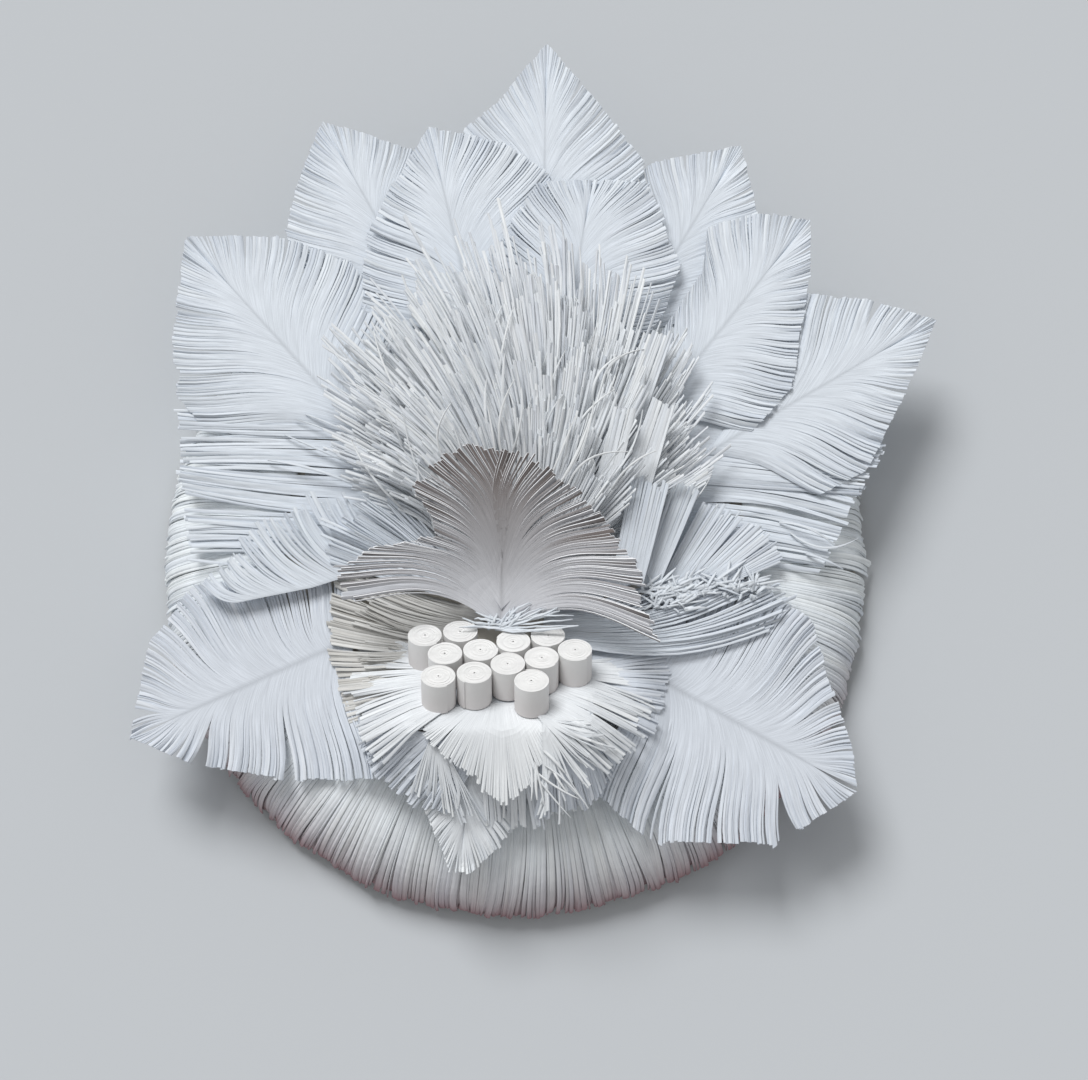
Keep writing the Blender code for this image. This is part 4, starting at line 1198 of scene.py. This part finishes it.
# %% [markdown]
# ## The coils
#
# Each coil is one strip of white paper, as wide as the coil is tall, wound tightly on a needle and glued at
# its end. A cylinder with a spiral painted on it would have a flat end. Here the strip is really wound: a
# section of four corners is carried along a spiral, a little narrower than its pitch, so the end shows a
# fine groove, and each turn stands a few hundredths of a millimetre higher or lower than the next, as in a
# hand-rolled one. The strip's end is the small step down the coil's side.

# %% A wound strip
COIL_RADIUS = 3.1
COIL_HOLE = 0.20
COIL_LENGTH = 6.3
TURNS = 15
TURN_STEPS = 36
STRIP_SHARE = 0.92         # the strip's thickness, as a share of the spiral's pitch
PROUD = 0.03               # how far a turn stands higher or lower than its neighbours


def wound_strip(rng):
    """A strip wound from the hole to the skin: radius grows evenly with the angle, one pitch a turn, and the
    strip is STRIP_SHARE of a pitch thick, so a fine spiral groove shows on the end."""
    pitch = (COIL_RADIUS - COIL_HOLE) / TURNS
    angle = np.linspace(0, TURNS * math.tau, TURNS * TURN_STEPS + 1)
    inner = COIL_HOLE + pitch * np.maximum(angle - math.tau, 0) / math.tau * TURNS / (TURNS - 1)
    outer = inner + STRIP_SHARE * pitch
    proud = rng.normal(0, PROUD, TURNS + 1)
    top = COIL_LENGTH + np.interp(angle / math.tau, np.arange(TURNS + 1), proud)
    base = np.zeros_like(angle)
    rings = [(inner, base), (outer, base), (outer, top), (inner, top)]
    return np.stack([np.stack([r * np.cos(angle), r * np.sin(angle), z], axis=-1) for r, z in rings], axis=1)


def closed_ribbon(name, section):
    """A closed solid from cross-sections of four corners carried along a path, with both ends capped."""
    count = len(section)
    index = np.arange(count * 4).reshape(count, 4)
    ahead = np.roll(index, -1, axis=1)
    quads = np.stack([index[:-1], ahead[:-1], ahead[1:], index[1:]], axis=-1).reshape(-1, 4)
    faces = [*quads.tolist(), index[0][::-1].tolist(), index[-1].tolist()]
    mesh = bpy.data.meshes.new(name)
    mesh.from_pydata(section.reshape(-1, 3), [], faces)
    bm = bmesh.new()
    bm.from_mesh(mesh)
    bmesh.ops.recalc_face_normals(bm, faces=bm.faces[:])
    bm.to_mesh(mesh)
    bm.free()
    mesh.shade_smooth()
    mesh.set_sharp_from_angle(angle=math.radians(40))
    return mesh


print(f"{TURNS} turns of a strip {COIL_LENGTH} mm wide make a coil {2 * COIL_RADIUS:.1f} mm across")

# %% [markdown]
# The twelve coils stand square on the sloping bed, each where its solid stands and turned at random about
# its own axis. Every turn gets a tint of its own, and the side gets painted shade towards its foot.

# %% Twelve coils on the bed
slope = math.atan2(LIP_RISE + BED_LAYERS * PITCH, BED_Y - RIDGE_Y)
coil_rng = np.random.default_rng(100)
for number in range(1, 13):
    node = f"coil_{number:02d}"
    low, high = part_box(node)
    middle = (low + high) / 2
    spin = Matrix.Rotation(coil_rng.uniform(0, math.tau), 3, "Z")
    turn = Matrix.Rotation(-slope, 3, "X") @ spin
    section = wound_strip(coil_rng) - (0, 0, COIL_LENGTH / 2)
    section = section @ np.array(turn).T * MM + np.array(middle)
    piece = bpy.data.objects.new(node + "_wound", closed_ribbon(node + "_wound", section))
    each_turn = coil_rng.uniform(0, 1, TURNS + 1)
    turns = np.interp(np.arange(len(section)) / TURN_STEPS, np.arange(TURNS + 1), each_turn)
    note(piece.data, "turn", np.repeat(turns, 4))
    # depth is 1 at the foot and 0 at the top: the share of the painted shade on the side.
    note(piece.data, "painted_foot_shade", np.tile((1.0, 1.0, 0.0, 0.0), len(section)))
    piece.data.materials.append(coil_paper)
    bpy.context.scene.collection.objects.link(piece)
    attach(piece, "root")
    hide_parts(node)
print(f"twelve coils stand on a bed that slopes {math.degrees(slope):.0f} degrees")

# %% [markdown]
# The core under all the paper is the CAD part's own solid. Only slivers of it show, and it is given the
# finish of the grey board that such a relief is built on: dull, a little warm, with a fine fibre.

# %% The core
for node in ("base_form", "lip_wedge"):
    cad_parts[node].data.materials.clear()
    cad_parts[node].data.materials.append(core_card)
print("the core keeps its own solids, in", core_card.name)

# %% [markdown]
# ## Floor, light and camera
#
# The flower lies on its flat back on a plain pale sheet, as in a photograph taken from above. A hair's
# breadth of air under it keeps the two surfaces from fighting for the same place.

# %% Floor
REACH = 3.0                # metres, so that its edge never shows
DROP = -0.0002
floor_mesh = bpy.data.meshes.new("floor")
floor_mesh.from_pydata([(-REACH, -REACH, DROP), (REACH, -REACH, DROP), (REACH, REACH, DROP),
                        (-REACH, REACH, DROP)], [], [(0, 1, 2, 3)])
floor = bpy.data.objects.new("floor", floor_mesh)
bpy.context.scene.collection.objects.link(floor)
floor_finish = bpy.data.materials.new("Pale grey studio sheet")
floor_finish.use_nodes = True
floor_shader = floor_finish.node_tree.nodes["Principled BSDF"]
floor_shader.inputs["Base Color"].default_value = linear("#C2C6CA")
floor_shader.inputs["Roughness"].default_value = 0.9
floor_mesh.materials.append(floor_finish)
floor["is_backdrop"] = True
print(f"the floor reaches {REACH} m to each side")

# %% [markdown]
# White paper shows its form only by shade. One large soft light comes from behind the top petals, low enough
# for every strand to shade its neighbour, and an even white sky fills the shadows. Together they light a
# level white surface at about full strength, so the papers show the colours that are written above.

# %% Light
SKY_LIGHT = 0.42
KEY_SHARE = 0.58
KEY_ANGLE = math.radians(26)
key_from = Vector((-0.28, 0.56, 0.78)).normalized()
key = bpy.data.objects.new("key", bpy.data.lights.new("key", "SUN"))
key.data.energy = KEY_SHARE * math.pi / key_from.z
key.data.angle = KEY_ANGLE
key.rotation_mode = "QUATERNION"
key.rotation_quaternion = key_from.to_track_quat("Z", "Y")
bpy.context.scene.collection.objects.link(key)
world = bpy.data.worlds.new("studio")
world.use_nodes = True
sky = world.node_tree.nodes["Background"]
sky.inputs["Color"].default_value = (1, 1, 1, 1)
sky.inputs["Strength"].default_value = SKY_LIGHT
bpy.context.scene.world = world
print(f"the key light comes from {math.degrees(math.asin(key_from.z)):.0f} degrees above the wall")

# %% [markdown]
# The photograph was taken from nearly straight above, a little from the side of the lip, and from far enough
# to keep its perspective weak: that is what shows the coils' sides and the lip's front. The distance and the
# lens are chosen together so that one pixel is about 0.19 mm on the flower.

# %% Camera
LEAN = math.radians(12)
DISTANCE = 575             # millimetres, like the lens and the sensor
LENS, SENSOR = 100, 36
target = Vector((5.5, 2.3, 15.0)) * MM
back = Vector((0, -math.sin(LEAN), math.cos(LEAN)))
camera = bpy.data.objects.new("camera", bpy.data.cameras.new("camera"))
camera.data.lens = LENS
camera.data.sensor_width = SENSOR
camera.data.clip_start = 0.01
camera.location = target + back * DISTANCE * MM
camera.rotation_mode = "QUATERNION"
camera.rotation_quaternion = back.to_track_quat("Z", "Y")
bpy.context.scene.collection.objects.link(camera)
bpy.context.scene.camera = camera
bpy.context.scene.view_settings.view_transform = "Standard"
print(f"the frame is {DISTANCE * SENSOR / LENS:.0f} mm wide at the flower")

# %% [markdown]
# ## Sizes, and finish
#
# The last cell measures the finished flower and prints its box, in millimetres. The detail may not make the
# object bigger than its solids.

# %% Sizes, and finish
bpy.context.view_layer.update()
low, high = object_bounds()
print("visual box, mm:", [round(v / MM, 1) for v in (*low, *high)])
